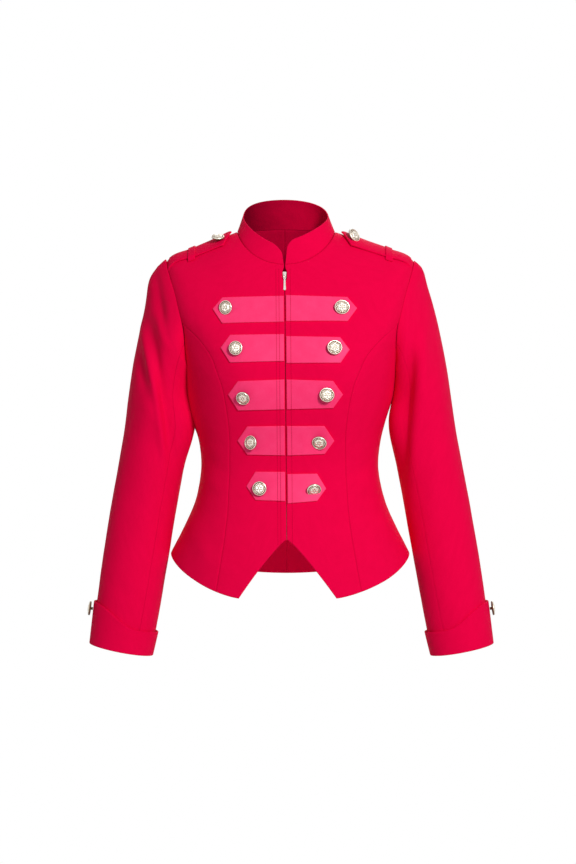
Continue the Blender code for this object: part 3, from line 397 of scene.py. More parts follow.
def hem_height(angle):
    """The hem's height round the body."""
    cut = HEM_ZIP + (HEM_POINT - HEM_ZIP) * (np.clip(angle, 0, POINT_ANGLE) / POINT_ANGLE) ** CUT_CURVE
    side = np.clip((angle - POINT_ANGLE) / (90 - POINT_ANGLE), 0, 1)
    skirt = HEM_POINT + (HEM_SIDE - HEM_POINT) * np.sin(np.radians(90 * side)) ** HEM_CURVE
    rear = HEM_SIDE + (HEM_BACK - HEM_SIDE) * np.sin(np.radians(angle - 90)) ** 2
    return np.where(angle < POINT_ANGLE, cut, np.where(angle < 90, skirt, rear))


def armhole(turn, behind):
    """The armhole's angle and level, round from its top by turn degrees."""
    reach = np.where(behind, ARMHOLE_BEHIND, -ARMHOLE_AHEAD)
    angle = 90 + reach * np.sin(np.radians(turn))
    return angle, ARMHOLE_MID + ARMHOLE_HALF * np.cos(np.radians(turn))


def join_turn(behind):
    return BACK_JOIN if behind else FRONT_JOIN


@functools.cache
def princess_curve(behind):
    """The levels and angles of a princess seam, from the hem up to its armhole."""
    goal = np.array(BACK_PRINCESS if behind else FRONT_PRINCESS, float)[:, ::-1]
    join = armhole(join_turn(behind), behind)
    angles, levels = place_on_body(goal, [0, 2], 140 if behind else 40, level_at(goal[:, 1]))
    return np.append(levels, join[1]), np.append(angles, join[0])


def princess(level, behind):
    """The angle of a princess seam at a level below its armhole."""
    return through(zip(*princess_curve(behind)), level)


def gap_half(height):
    """Half the gap between the front edges, which part round the slider."""
    part = np.clip((height - SLIDER_Z) / 12, 0, 1)
    beside = np.exp(-((height - SLIDER_Z) / GAP_SLIDER_SPAN) ** 4)
    return GAP + (GAP_TOP - GAP) * part + (GAP_SLIDER - GAP) * beside


def middle_edge(level, behind):
    """The angle of the edge on the middle line: the zip's edge, or the back's seam."""
    level = np.asarray(level, float)
    if behind:
        return nudged(np.full(level.shape, 180.0), level, -SEAM / 2)
    height = body(np.zeros(level.shape), level)[..., 2]
    return nudged(np.zeros(level.shape), level, gap_half(height))


def outer_edge(level, behind):
    """The far edge of a front or back: princess seam, armhole, then shoulder seam."""
    level = np.asarray(level, float)
    sign = -1 if behind else 1
    join_level = float(armhole(join_turn(behind), behind)[1])
    seam = nudged(princess(level, behind), level, -sign * SEAM / 2)
    part = np.clip((level - ARMHOLE_MID) / ARMHOLE_HALF, -1, 1)
    hole = armhole(np.degrees(np.arccos(part)), behind)[0]
    shoulder = nudged(np.full(level.shape, 90.0), level, -sign * SEAM / 2)
    far = np.where(level < join_level - 0.003, seam, hole)
    beyond = far > shoulder if not behind else far < shoulder
    return np.where((level >= TIP) | beyond, shoulder, far)


def hem_rows(fractions, near, far, behind, steps):
    """Rows of a panel from the hem up to just under the waist."""
    level = np.full(len(fractions), 1.5)
    for _ in range(TRIES):
        angle = near(level, behind) + fractions * (far(level, behind) - near(level, behind))
        level = level_at(hem_height(angle))
    steps = np.asarray(steps)[:, None]
    levels = level + (WAIST - level) * steps
    angles = near(levels, behind) + fractions * (far(levels, behind) - near(levels, behind))
    return angles, levels


def spread(width, low_edge=True, high_edge=True):
    """Places from 0 to 1 over a width, close together at its edges."""
    edge = np.array(EDGE_STEPS)
    start = edge if low_edge else np.zeros(1)
    end = width - (edge[::-1] if high_edge else np.zeros(1))
    count = max(2, round((end[0] - start[-1]) / FINE))
    return np.concatenate([start, np.linspace(start[-1], end[0], count + 1)[1:-1], end]) / width


def point_fraction():
    """Where on a front's hem its point lies."""
    low, high = 0.0, 1.0
    for _ in range(TRIES):
        middle = (low + high) / 2
        angle = hem_rows(np.array([middle]), middle_edge, outer_edge, False, [0.0])[0][0, 0]
        low, high = (middle, high) if angle < POINT_ANGLE else (low, middle)
    return low


def tall_panel(behind):
    """Angles and levels of a front or back, from the hem to the neck and shoulder seam."""
    if behind:
        fractions = spread(BACK_WIDE)
    else:
        point = point_fraction()
        inner = spread(FRONT_NEAR, True, False) * point
        outer = point + spread(FRONT_FAR, False, True)[1:] * (1 - point)
        fractions = np.concatenate([inner, outer])
    join = join_turn(behind)
    join_level = float(armhole(join, behind)[1])
    below = np.linspace(WAIST, join_level - 0.004, BODY_ROWS)
    turns = np.concatenate([np.linspace(join, 20, ARMHOLE_ROWS)[1:], [15, 11, 8, 5, 2.5]])
    edge = np.array(EDGE_STEPS)[::-1] / SHOULDER_STEP
    top = np.concatenate([np.linspace(TIP, NECK - edge[0], SHOULDER_ROWS), NECK - edge[1:]])
    levels = np.concatenate([below, armhole(turns, behind)[1], top])
    low = hem_rows(fractions, middle_edge, outer_edge, behind, spread(SKIRT_TALL, True, False)[:-1])
    high = np.repeat(levels[:, None], len(fractions), axis=1)
    near, far = middle_edge(high, behind), outer_edge(high, behind)
    angles = near + fractions * (far - near)
    return np.vstack([low[0], angles]), np.vstack([low[1], high])


def seam_edge(level, behind):
    sign = -1 if behind else 1
    return nudged(princess(level, behind), level, sign * SEAM / 2)


def side_edge(level, behind):
    sign = -1 if behind else 1
    return nudged(np.full(np.shape(level), 90.0), level, -sign * SEAM / 2)


def short_panel(behind):
    """Angles and levels of a side panel, from the hem to the lower armhole."""
    fractions = spread(SIDE_WIDE)
    low = hem_rows(fractions, seam_edge, side_edge, behind, spread(SKIRT_TALL, True, False)[:-1])
    steps = np.linspace(WAIST, CHEST, SIDE_ROWS, endpoint=False)[:, None] + 0 * fractions
    near = seam_edge(steps, behind)
    middle = near + fractions * (side_edge(steps, behind) - near)
    join = join_turn(behind) + 0.4
    turns = join + (179.7 - join) * fractions
    top_angle, top_level = armhole(turns, behind)
    chest = np.array(float(CHEST))
    start = seam_edge(chest, behind)
    at_chest = start + fractions * (side_edge(chest, behind) - start)
    part = spread(SIDE_TOP_TALL, False, True)[:, None]
    levels = CHEST + (top_level - CHEST) * part
    angles = at_chest + (top_angle - at_chest) * part
    seam = seam_edge(levels[:, :1], behind)
    angles = angles + (1 - fractions) * (seam - angles[:, :1])
    return np.vstack([low[0], middle, angles]), np.vstack([low[1], steps, levels])


def shift_at(x, z):
    """How far the sway moves a point to the right, by its place and height."""
    middle = np.interp(z, (-480, -50), (SWAY_LOW, SWAY_TOP))
    return middle + (SWAY_SIDE - middle) * np.clip(np.abs(x) / SWAY_REACH, 0, 1) ** 2


def sway(points):
    """Shift points sideways, the middle line to the left and the sides to the right."""
    points = np.array(points, float)
    points[..., 0] += shift_at(points[..., 0], points[..., 2])
    return points


def before_sway(out, height, side):
    """The distance from the middle that the sway moves to this distance from the zip."""
    target = side * np.asarray(out, float) + shift_at(0.0, height)
    x = target
    for _ in range(6):
        x = target - shift_at(x, height)
    return side * x


def creases(points, part, facing):
    """How far the listed creases move a part's points out."""
    move = np.zeros(points.shape[:-1])
    for table, way in ((FRONT_CREASES, -1), (BACK_CREASES, 1)):
        seen = np.clip(way * facing * 3, 0, 1)
        for x0, z0, x1, z1, wide, deep, bend in table[part]:
            long = math.hypot(x1 - x0, z1 - z0)
            way_x, way_z = (x1 - x0) / long, (z1 - z0) / long
            x, z = points[..., 0] - x0, points[..., 2] - z0
            along = (x * way_x + z * way_z) / long
            off = x * way_z - z * way_x - 4 * bend * along * (1 - along)
            ends = np.exp(-np.abs((along - 0.5) / 0.52) ** 4)
            move += seen * deep * np.exp(-(off / wide) ** 2) * ends
    return move


def unevenness(points, size):
    """Soft hollows and swells that keep the cloth from looking pressed."""
    x, y, z = np.moveaxis(points, -1, 0)
    waves = (np.sin(x / 17 + z / 41 + 1.3) * np.sin(z / 23 - x / 61 + y / 37)
             + 0.7 * np.sin(x / 37 - z / 29 + 0.4) + 0.5 * np.sin(z / 13 + y / 19 + 2.1)
             * np.sin(x / 11 + 0.7) + 0.4 * np.sin((x + z) / 9.1) * np.sin((y - z) / 14.3))
    return size * waves / 2


def roll(distance, deep, wide):
    """How far a rounded edge sinks at a distance from it."""
    part = np.clip(distance / wide, 0, 1)
    return deep * (1 - np.sqrt(np.clip(1 - (1 - part) ** 2, 0, 1)))


def valley(distance, deep, wide):
    """How far a seam's edge sinks at a distance from it, softly."""
    return deep * (1 - np.clip(distance / wide, 0, 1)) ** 2


def grid_normals(points):
    """Outward directions of a grid whose columns run round and whose rows run up or down."""
    return unit(np.cross(np.gradient(points, axis=1), np.gradient(points, axis=0)))


def lengths(points, axis):
    """Distance along the grid from its first row or column."""
    steps = np.linalg.norm(np.diff(points, axis=axis), axis=-1)
    shape = list(steps.shape)
    shape[axis] = 1
    return np.concatenate([np.zeros(shape), np.cumsum(steps, axis=axis)], axis=axis)


def flat_map(points):
    """Each point's place on the cloth laid flat."""
    return np.stack([lengths(points, 1), lengths(points, 0)], -1).reshape(-1, 2)


def handed(points, side):
    """Points on their own side. The surfaces are worked out on the right."""
    return points * np.array([side, 1, 1])


def body_move(base, normal, side):
    """How far creases and unevenness move the body's cloth out."""
    real = handed(base, side)
    return creases(sway(real), "body", normal[..., 1]) + unevenness(real, BODY_UNEVEN)


def front_at(goal, angle, height):
    """Points and outward directions of the front at places of x and z, near an angle and height."""
    angle, level = place_on_body(goal, [0, 2], angle, level_at(height))
    return body(angle, level), body_normal(angle, level)


def edge_distances(points):
    """Distances from a grid's first and last column and row."""
    across, along = lengths(points, 1), lengths(points, 0)
    lean = []
    for row in (0, -1):
        edge = unit(np.gradient(points[row], axis=0))
        leave = unit(points[1] - points[0] if row == 0 else points[-2] - points[-1])
        lean.append(np.linalg.norm(np.cross(edge, leave), axis=-1))
    return (across, across[:, -1:] - across, along * lean[0], (along[-1:] - along) * lean[1])


def make_object(name, points, faces, uv=None, smooth_angle=50, guide=None):
    """A mesh object from points in millimetres, with its faces turned outwards."""
    mesh = bpy.data.meshes.new(name)
    mesh.from_pydata(sway(points) * MM, [], faces)
    corners = np.empty(len(mesh.loops), dtype=np.int32)
    mesh.loops.foreach_get("vertex_index", corners)
    for label, places in (("cloth", uv), ("lines", guide)):
        if places is not None:
            layer = mesh.uv_layers.new(name=label)
            layer.data.foreach_set("uv", (places[corners] * MM).ravel())
    shape = bmesh.new()
    shape.from_mesh(mesh)
    bmesh.ops.recalc_face_normals(shape, faces=shape.faces[:])
    shape.to_mesh(mesh)
    shape.free()
    mesh.shade_smooth()
    mesh.set_sharp_from_angle(angle=math.radians(smooth_angle))
    item = bpy.data.objects.new(name, mesh)
    bpy.context.scene.collection.objects.link(item)
    return item


def grid_faces(rows, columns, closed=False, first=0):
    """Quads over a grid of points."""
    row, column = np.meshgrid(np.arange(rows - 1), np.arange(columns if closed else columns - 1),
                              indexing="ij")
    after = (column + 1) % columns
    corners = [row * columns + column, row * columns + after, (row + 1) * columns + after,
               (row + 1) * columns + column]
    return first + np.stack(corners, -1).reshape(-1, 4)


def ring_faces(rows, columns):
    """Quads over a grid that closes both ways."""
    last = grid_faces(2, columns, True)
    last = np.where(last >= columns, last - columns, last + (rows - 1) * columns)
    return np.concatenate([grid_faces(rows, columns, True), last]).tolist()


def mark_points(item, label, values):
    """Keep a number on each point of a mesh, for its material."""
    mark = item.data.attributes.new(label, "FLOAT", "POINT")
    mark.data.foreach_set("value", values)


def seam_painted_shade(distance):
    """How much painted shade the cloth gets at a distance from a seam."""
    return np.exp(-(distance / SEAM_LINE) ** 2)


def shell(name, outer, inner, side=1, guide=None, painted_shade_inside=False, seam=None):
    """A thin wall between two grids, with its rims closed. Its inner faces can take a second material,
    which paints shade and light on the inside.
    """
    rows, columns = outer.shape[:2]
    count = rows * columns
    points = handed(np.concatenate([outer.reshape(-1, 3), inner.reshape(-1, 3)]), side)
    faces = [grid_faces(rows, columns), grid_faces(rows, columns, first=count)]
    place = np.arange(count).reshape(rows, columns)
    for edge in (place[0], place[-1], place[:, 0], place[:, -1]):
        faces.append(np.stack([edge[:-1], edge[1:], edge[1:] + count, edge[:-1] + count], -1))
    if guide is not None:
        guide = np.concatenate([layer.reshape(-1, 2) for layer in guide])
    uv = np.tile(flat_map(outer), (2, 1))
    item = make_object(name, points, np.concatenate(faces).tolist(), uv, guide=guide)
    # The seam mark paints shade along the seams, on both faces
    if seam is not None:
        mark_points(item, "seam", np.tile(seam_painted_shade(seam).ravel(), 2))
    if painted_shade_inside:
        index = np.zeros(len(item.data.polygons), dtype=np.int32)
        index[len(faces[0]):2 * len(faces[0])] = 1
        item.data.polygons.foreach_set("material_index", index)
    return item


def dress(item, material, node=None, inside=None, rides="jacket"):
    """Give a piece its material, its body and the node that it stands for."""
    item.data.materials.append(material)
    if inside:
        item.data.materials.append(inside)
    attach(item, rides)
    if node:
        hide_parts(node)


def body_panel(piece, grid, side, edges):
    """A cut piece of the body. The edges are fold or seam for near, far, low and high."""
    base, normal = body(*grid), body_normal(*grid)
    most, height, above, below = SIDE_FULL[side]
    away = base[..., 2] - height
    swell = np.exp(-(away / np.where(away > 0, above, below)) ** 2)
    move = body_move(base, normal, side)
    move = move + most * swell * np.exp(-((grid[0] - 90) / SIDE_ROUND) ** 2)
    sink = np.zeros(base.shape[:-1])
    nearest = np.full(base.shape[:-1], 99.0)
    place = lengths(base, 0)
    pucker = 0.10 * np.sin(place / 2.9 + 0.8 * np.sin(place / 13 + side))
    distances = edge_distances(base)
    for distance, kind in zip(distances, edges):
        if kind == "fold":
            sink = np.maximum(sink, roll(distance, FOLD_DEEP, FOLD_WIDE))
        else:
            sink = np.maximum(sink, valley(distance, SEAM_DEEP, SEAM_WIDE))
            nearest = np.minimum(nearest, distance)
            move = move + pucker * np.exp(-distance / 5)
    outer = base + (move - sink)[..., None] * normal
    inner = base + (move - CLOTH + sink)[..., None] * normal
    from_zip = base[..., 0] * side if edges[0] == "fold" else np.ones(base.shape[:-1])
    hem = distances[2]
    guide = [np.stack([from_zip, 0 * hem], -1), np.stack([from_zip, hem], -1)]
    return shell(piece, outer, inner, side, guide=guide, painted_shade_inside=True, seam=nearest)


def armhole_ring(turn):
    """Angle and level of the armhole, all the way round."""
    turn = np.asarray(turn, float) % 360
    behind = turn > 180
    return armhole(np.where(behind, 360 - turn, turn), behind)


def armhole_edge(turn):
    """The sleeve's first ring beside the armhole: points, and the way the cloth leaves them."""
    points = body(*armhole_ring(turn))
    along = unit(body(*armhole_ring(turn + 0.5)) - body(*armhole_ring(turn - 0.5)))
    normal = body_normal(*armhole_ring(turn))
    outward = unit(np.cross(normal, along))
    fold = np.radians(10 + 160 * ((1 - np.cos(np.radians(turn))) / 2) ** 2.2)[..., None]
    start = points + SEAM * 1.2 * (np.cos(fold / 2) * outward + np.sin(fold / 2) * normal)
    return start, np.cos(fold) * outward + np.sin(fold) * normal


def sleeve_ring(turn, station, side):
    """Points round the arm at stations of the sleeve's table."""
    row = read_rows(SLEEVE, station)
    height, across, wide, forward, deep, tilt = np.moveaxis(row, -1, 0)
    angle, lean = np.radians(turn), np.radians(tilt)
    share = station / (len(SLEEVE) - 1)
    across = across + side * (SLEEVE_SIDE_TOP + share * (SLEEVE_SIDE_LOW - SLEEVE_SIDE_TOP))
    out = wide * np.cos(angle)
    return np.stack([across + out * np.cos(lean), forward - deep * np.sin(angle),
                     height + out * np.sin(lean)], -1)


def sleeve_folds(turn, along, side):
    """How far the sleeve's large folds move its surface out."""
    move = np.zeros(np.shape(turn))
    for hand, around, place, span, length, deep in SLEEVE_FOLDS:
        if hand == side:
            away = (turn - around + 180) % 360 - 180
            move += deep * np.exp(-(away / span) ** 2 - ((along - place) / length) ** 2)
    return move


def sleeve_surface(turn, along, side):
    """The sleeve's outside: along is 0 to 1 on the cap, then the table's stations."""
    turn, along = np.broadcast_arrays(np.asarray(turn, float), np.asarray(along, float))
    ring = sleeve_ring(turn, np.clip(along - 1, 0, None), side)
    start, leave = armhole_edge(turn)
    end = sleeve_ring(turn, np.zeros(turn.shape), side)
    down = unit(sleeve_ring(turn, np.full(turn.shape, 0.02), side) - end)
    reach = np.linalg.norm(end - start, axis=-1, keepdims=True)
    top = np.clip(np.cos(np.radians(turn)), 0, 1)[..., None] ** 2
    full = CAP_FULL_SIDE + (CAP_FULL_TOP - CAP_FULL_SIDE) * top
    one = start + full * reach * leave
    two = end - CAP_LEVEL * reach * down
    part = np.clip(along, 0, 1)[..., None]
    rest = 1 - part
    cap = (rest ** 3 * start + 3 * rest ** 2 * part * one + 3 * rest * part ** 2 * two
           + part ** 3 * end)
    most, where, span = SHOULDER_FULL[side]
    square = most * np.clip(np.cos(np.radians(turn)), 0, 1) ** 1.2
    square = square * np.exp(-((along - where) / span) ** 2) * np.clip(along * 14, 0, 1)
    cap[..., 0] += square
    head = np.exp(-((along - 0.02) / 0.045) ** 2) * np.clip(along * 90, 0, 1) * top[..., 0]
    cap[..., 2] += CAP_RAISE[side] * head
    smooth = np.where(along[..., None] >= 1, ring, cap)
    row = read_rows(SLEEVE, np.clip(along - 1, 0, None))
    away = smooth[..., :2] - row[..., [1, 3]]
    away = away / np.linalg.norm(away, axis=-1, keepdims=True)
    inside = 0.25 + 0.75 * (1 + np.cos(np.radians(turn - 20))) / 2
    push = sleeve_folds(turn, along, side) * np.clip(along * 4, 0, 1) * inside
    smooth[..., :2] += away * push[..., None]
    return smooth


def sleeve_piece(name, first, last, side):
    """The upper or under sleeve, from the armhole to just inside the cuff."""
    span = last - first
    turn = first + spread(span * 0.92) * span
    edge = np.array(EDGE_STEPS) / HEAD_TALL
    along = np.concatenate([edge, np.linspace(edge[-1], 1, HEAD_ROWS)[1:],
                            np.linspace(1, SLEEVE_END, ARM_ROWS)[1:]])
    turns, alongs = np.meshgrid(turn, along)
    base = sleeve_surface(turns, alongs, side)
    normal = grid_normals(base)
    real = handed(base, side)
    move = creases(sway(real), "sleeve", normal[..., 1]) * np.clip(alongs * 3, 0, 1)
    move += unevenness(real, SLEEVE_UNEVEN) * np.clip(alongs * 4, 0, 1)
    distances = edge_distances(base)
    ease = 0.22 * np.sin(np.radians(turns) * 9.5 + 0.6 * np.sin(np.radians(turns) * 3))
    move += ease * np.exp(-distances[2] / 9) * np.clip(distances[2] / 3, 0, 1)
    sink = np.zeros(base.shape[:-1])
    for distance, deep in zip(distances, (SEAM_FAINT, SEAM_FAINT, SEAM_DEEP)):
        sink = np.maximum(sink, valley(distance, deep, SEAM_WIDE))
    outer = base + (move - sink)[..., None] * normal
    inner = base + (move - CLOTH)[..., None] * normal
    return shell(name, outer, inner, side, painted_shade_inside=True, seam=distances[2])


def cuff_height(turn):
    """The cuff's height round the arm, highest on its outside."""
    part = np.clip((np.cos(np.radians(turn)) + 0.5) / 1.5, 0, 1)
    return CUFF_INSIDE + (CUFF_OUTSIDE - CUFF_INSIDE) * part * part * (3 - 2 * part)


def cuff_point(turn, up, side, offset):
    """A point of the cuff: up is 0 at the wrist and 1 at the slanted edge."""
    along = len(SLEEVE) - up * cuff_height(turn) / STATION_STEP
    base = sleeve_surface(turn, along, side)
    round_it = sleeve_surface(turn + 0.5, along, side) - sleeve_surface(turn - 0.5, along, side)
    down = (sleeve_surface(turn, along, side) - sleeve_surface(turn, along - 0.01, side))
    return base + np.asarray(offset)[..., None] * unit(np.cross(round_it, down))


def cuff(name, side):
    """A turned back cuff whose edges are rounded folds."""
    turn = np.arange(0, 360, 3.0)
    half = CUFF_WALL / 2
    bend = np.radians(np.linspace(0, 180, 7))
    fold = half / 50.0
    top = [(1 - fold + fold * math.sin(a), half * math.cos(a)) for a in bend]
    low = [(fold - fold * math.sin(a), -half * math.cos(a)) for a in bend]
    outside = [(up, half) for up in np.linspace(0.06, 0.94, 16)]
    inside = [(up, -half) for up in np.linspace(0.94, 0.06, 8)]
    ring = np.array(outside + top + inside + low)
    ups, turns = np.meshgrid(ring[:, 0], turn, indexing="ij")
    offs = np.repeat(ring[:, 1][:, None], len(turn), 1)
    middle = CUFF_OFF_LOW + ups * (CUFF_OFF_HIGH - CUFF_OFF_LOW) + half
    points = cuff_point(turns, ups, side, middle + offs)
    points = handed(points, side)
    points[..., 1] += unevenness(points, SLEEVE_UNEVEN)
    return make_object(name, points.reshape(-1, 3), ring_faces(*points.shape[:2]), flat_map(points))


def collar_point(angle, up):
    """The collar's outside: angle 0 is the front, and up is 0 at the neck seam, 1 at the top."""
    angle = np.asarray(angle, float)
    turn = np.radians(angle)
    side = np.where(np.sin(turn) < 0, -1, 1)
    foot = body(np.abs(angle), np.full(angle.shape, float(NECK)))
    foot[..., 0] *= side
    foot[..., 2] += SEAM * 1.3
    ahead = np.cos(turn)
    front_z = np.where(side < 0, COLLAR_TOP_FRONT[-1], COLLAR_TOP_FRONT[1])
    tilt = (COLLAR_TOP_BACK - front_z) / 2
    bow = (COLLAR_TOP_BACK + front_z) / 2 - COLLAR_TOP_SIDE
    deep = np.where(ahead >= 0, COLLAR_AHEAD, COLLAR_BEHIND)
    high = COLLAR_TOP_SIDE - tilt * ahead + bow * ahead ** 2
    high = high + COLLAR_RAISE * np.clip(np.sin(2 * np.abs(turn)), 0, 1)
    top = np.stack([COLLAR_HALF * np.sin(turn), -deep * ahead, high], -1)
    return foot + (top - foot) * np.asarray(up, float)[..., None]


def collar(name):
    """The stand collar, one band from front edge to front edge."""
    ends = float(middle_edge(np.array(float(NECK)), False))
    low = ends + np.array([0, 0.4, 0.9, 1.6, 2.5, 3.6, 5.0, 6.6, 8.5])
    half = np.concatenate([low, np.arange(11, 180, 2.5)])
    angles = np.concatenate([half, [180.0], -half[::-1]])
    radius = np.where(angles < 0, COLLAR_ROUND[-1], COLLAR_ROUND[1])
    away = np.radians(np.abs(angles) - ends) * COLLAR_HALF * 0.9
    drop = 1 - np.clip(away / radius, 0, 1)
    top = 1 - radius / COLLAR_FRONT * (1 - np.sqrt(np.clip(1 - drop ** 2, 0, 1))) * 0.95
    rows = spread(36)
    angle, up = np.repeat(angles[None], len(rows), 0), rows[:, None] * top
    part = np.clip(1 - (np.abs(angle) - ends) / COLLAR_OPEN_SPAN, 0, 1)
    angle = angle + np.sign(angle) * COLLAR_OPEN * part * up
    base = collar_point(angle, up)
    normal = grid_normals(base)
    move = unevenness(base, COLLAR_UNEVEN)
    near, far, foot, head = edge_distances(base)
    sink = roll(np.minimum(np.minimum(near, far), head), FOLD_DEEP, FOLD_WIDE)
    outer_sink = np.maximum(sink, valley(foot, SEAM_DEEP + 0.3, SEAM_WIDE))
    outer = base + (move - outer_sink)[..., None] * normal
    inner = base + (move - CLOTH + sink)[..., None] * normal
    return shell(name, outer, inner, painted_shade_inside=True, seam=foot)


def tab(name, row, side):
    """A pointed satin tab that lies on the front."""
    height, corner, tip, half = TABS[row]
    height = height + TAB_RISE[side][row]
    body_part = spread(corner - TAB_START, True, False) * (corner - TAB_START) + TAB_START
    point = corner + (tip - corner) * np.array([0.15, 0.3, 0.45, 0.6, 0.72, 0.83, 0.92, 0.98])
    across = np.concatenate([body_part, point])
    taper = np.clip((tip - across) / (tip - corner), 0, 1)
    up = spread(2 * half)[:, None] * 2 - 1
    placed = before_sway(across, height, side)
    top, low = TAB_EDGES[side][row]
    shift = (low + (top - low) * (up + 1) / 2) * (across / corner) * taper
    goal = np.stack([placed + 0 * up, height + half * up * taper + shift], -1)
    base, normal = front_at(goal, 30, height)
    move = body_move(base, normal, side)
    near, _, low, high = edge_distances(base)
    edge = np.minimum(np.minimum(low, high), near)
    sink = roll(edge, 0.75, 0.9)
    outer = base + (move + TAB_LIFT + SATIN - sink)[..., None] * normal
    inner = base + (move + TAB_LIFT - 0.5)[..., None] * normal
    layer = np.stack([base[..., 0] * side, 0 * edge], -1)
    return shell(name, outer, inner, side, guide=[layer, layer])


def tab_seat(row, side):
    """Where a tab's button sits, and which way it faces."""
    out, height, turned, tipped = BUTTON_PLACES[side][row]
    goal = np.array([[before_sway(out, height, side), height]])
    base, normal = front_at(goal, 30, height)
    seat = base[0] + (TAB_LIFT + SATIN) * normal[0]
    return handed(seat, side), unit(np.array([turned, -1.0, tipped]))


def button_height(out, turn):
    """The ornament on a button's face: a rope rim, a ring of beads and a rosette."""
    part = out / BUTTON_HALF
    dome = 0.62 * BUTTON_RISE * (1 - part ** 2)
    rim = 1.15 * np.exp(-((part - 0.93) / 0.055) ** 4) * (1 + 0.05 * np.cos(turn * 40))
    beads = 0.75 * np.exp(-((part - 0.73) / 0.055) ** 2) * (0.5 + 0.5 * np.cos(turn * 20))
    spokes = np.abs(np.cos(turn * 3)) ** 0.8
    petals = 1.15 * spokes * np.exp(-((part - 0.38) / 0.15) ** 2)
    leaves = 0.8 * np.abs(np.sin(turn * 3)) ** 4 * np.exp(-((part - 0.52) / 0.08) ** 2)
    boss = 1.0 * np.exp(-(part / 0.12) ** 2)
    groove = -0.45 * np.exp(-((part - 0.83) / 0.035) ** 2)
    relief = rim + beads + petals + leaves + boss + groove
    return dome + relief, relief


def button(name, seat, normal):
    """A domed shank button with a raised ornament, standing on its seat."""
    sides = 96
    turn = np.arange(sides) * 2 * math.pi / sides
    outs = np.concatenate([np.linspace(0.03, 0.97, 27), [0.985, 1.0]]) * BUTTON_HALF
    out, around = np.meshgrid(outs, turn, indexing="ij")
    face_low = SHANK_TALL + BUTTON_RIM
    rise, relief = button_height(out, around)
    face = np.stack([out * np.cos(around), out * np.sin(around), face_low + rise * 0.9], -1)
    face[-1, :, 2] = face_low - 0.2
    back = [(BUTTON_HALF * share, SHANK_TALL + over)
            for share, over in ((1.0, 0.5), (0.96, 0.15), (0.8, 0.05), (0.3, -0.1))]
    shank = [(SHANK_HALF, SHANK_TALL - 0.4), (SHANK_HALF * 0.8, 1.4), (SHANK_HALF, 0.0)]
    rings = [np.stack([half * np.cos(turn), half * np.sin(turn), np.full(sides, high)], -1)
             for half, high in back + shank]
    points = np.concatenate([face, np.array(rings)])
    rows = len(points)
    faces = grid_faces(rows, sides, True).tolist()
    points = points.reshape(-1, 3)
    middle = len(points)
    top = face_low + 0.9 * float(button_height(np.array(0.0), np.array(0.0))[0])
    points = np.vstack([points, [(0, 0, top), (0, 0, 0)]])
    last = (rows - 1) * sides
    for step in range(sides):
        after = (step + 1) % sides
        faces.append((after, step, middle))
        faces.append((last + step, last + after, middle + 1))
    facing = Vector(normal).to_track_quat("Z", "Y").to_matrix()
    placed = np.array(seat) + np.array(normal) * BUTTON_ROOM + points @ np.array(facing).T
    item = make_object(name, placed, faces, smooth_angle=60)
    # The relief mark tells the material where to paint shade in the ornament's recesses
    values = np.zeros(len(points))
    values[:relief.size] = np.clip(relief.ravel() / 1.1, 0, 1)
    mark_points(item, "relief", values)
    return item


def strap_surface(x, y, offset):
    """A point over the shoulder, moved out by the offset."""
    angle, level = place_on_body(np.stack([x, y], -1), [0, 1], 90, 14)
    return body(angle, level) + np.asarray(offset)[..., None] * body_normal(angle, level)


def strap_middle(out):
    """How far ahead of the shoulder's ridge a strap's middle line runs."""
    return np.interp(out, (STRAP_SHOULDER, STRAP_OUT), (STRAP_FORWARD_IN, STRAP_FORWARD_OUT))


def strap_lift(out):
    """How far a strap stands off the shoulder: its pointed end is free."""
    free = np.clip((STRAP_FREE - out) / STRAP_FREE_SPAN, 0, 1)
    tucked = np.clip((out - STRAP_TUCK) / (STRAP_OUT - STRAP_TUCK), 0, 1)
    return STRAP_LIFT + STRAP_TIP_LIFT * free ** 1.5 - STRAP_SINK * tucked ** 2


def strap(name, side):
    """A shoulder strap with a pointed inner end, lying along the shoulder seam."""
    long = STRAP_END - STRAP_SHOULDER
    point = STRAP_SHOULDER - (STRAP_SHOULDER - STRAP_POINT) * np.array(
        [0.12, 0.25, 0.4, 0.55, 0.7, 0.82, 0.91, 0.975])
    out = np.concatenate([STRAP_END - spread(long, True, False) * long, point])
    taper = np.clip((out - STRAP_POINT) / (STRAP_SHOULDER - STRAP_POINT), 0, 1)
    across = spread(2 * STRAP_HALF)[:, None] * 2 - 1
    x = out + 0 * across
    y = strap_middle(x) + STRAP_HALF * across * taper
    base = strap_surface(x, y, strap_lift(x))
    normal = -grid_normals(base)
    normal = np.where(normal[..., 2:] < 0, -normal, normal)
    near, _, low, high = edge_distances(base)
    sink = roll(np.minimum(np.minimum(low, high), near), 0.9, 1.1)
    outer = base + (STRAP_WALL - sink)[..., None] * normal
    return shell(name, outer, base, side)


def strap_loop(name, side):
    """The band that holds a strap down, sewn to the shoulder at both ends."""
    half = [(STRAP_HALF * share, down) for share, down in LOOP_STEPS]
    section = np.array([(-y, down) for y, down in half[:0:-1]] + half)
    places = np.linspace(0, len(section) - 1, 49)
    across = np.interp(places, np.arange(len(section)), section[:, 0])
    ys = strap_middle(LOOP_AT) + across
    over = STRAP_LIFT + STRAP_WALL + LOOP_ROOM
    height = over * (1 - np.interp(places, np.arange(len(section)), section[:, 1]))
    x = (LOOP_AT + LOOP_HALF * (spread(11) * 2 - 1))[:, None] + 0 * ys
    y = ys + 0 * x
    low = strap_surface(x, y, height + 0 * x)
    edge = (LOOP_HALF - np.abs(x - LOOP_AT))
    high = strap_surface(x, y, height + LOOP_WALL - roll(edge, 0.6, 0.9))
    return shell(name, high, low, side)


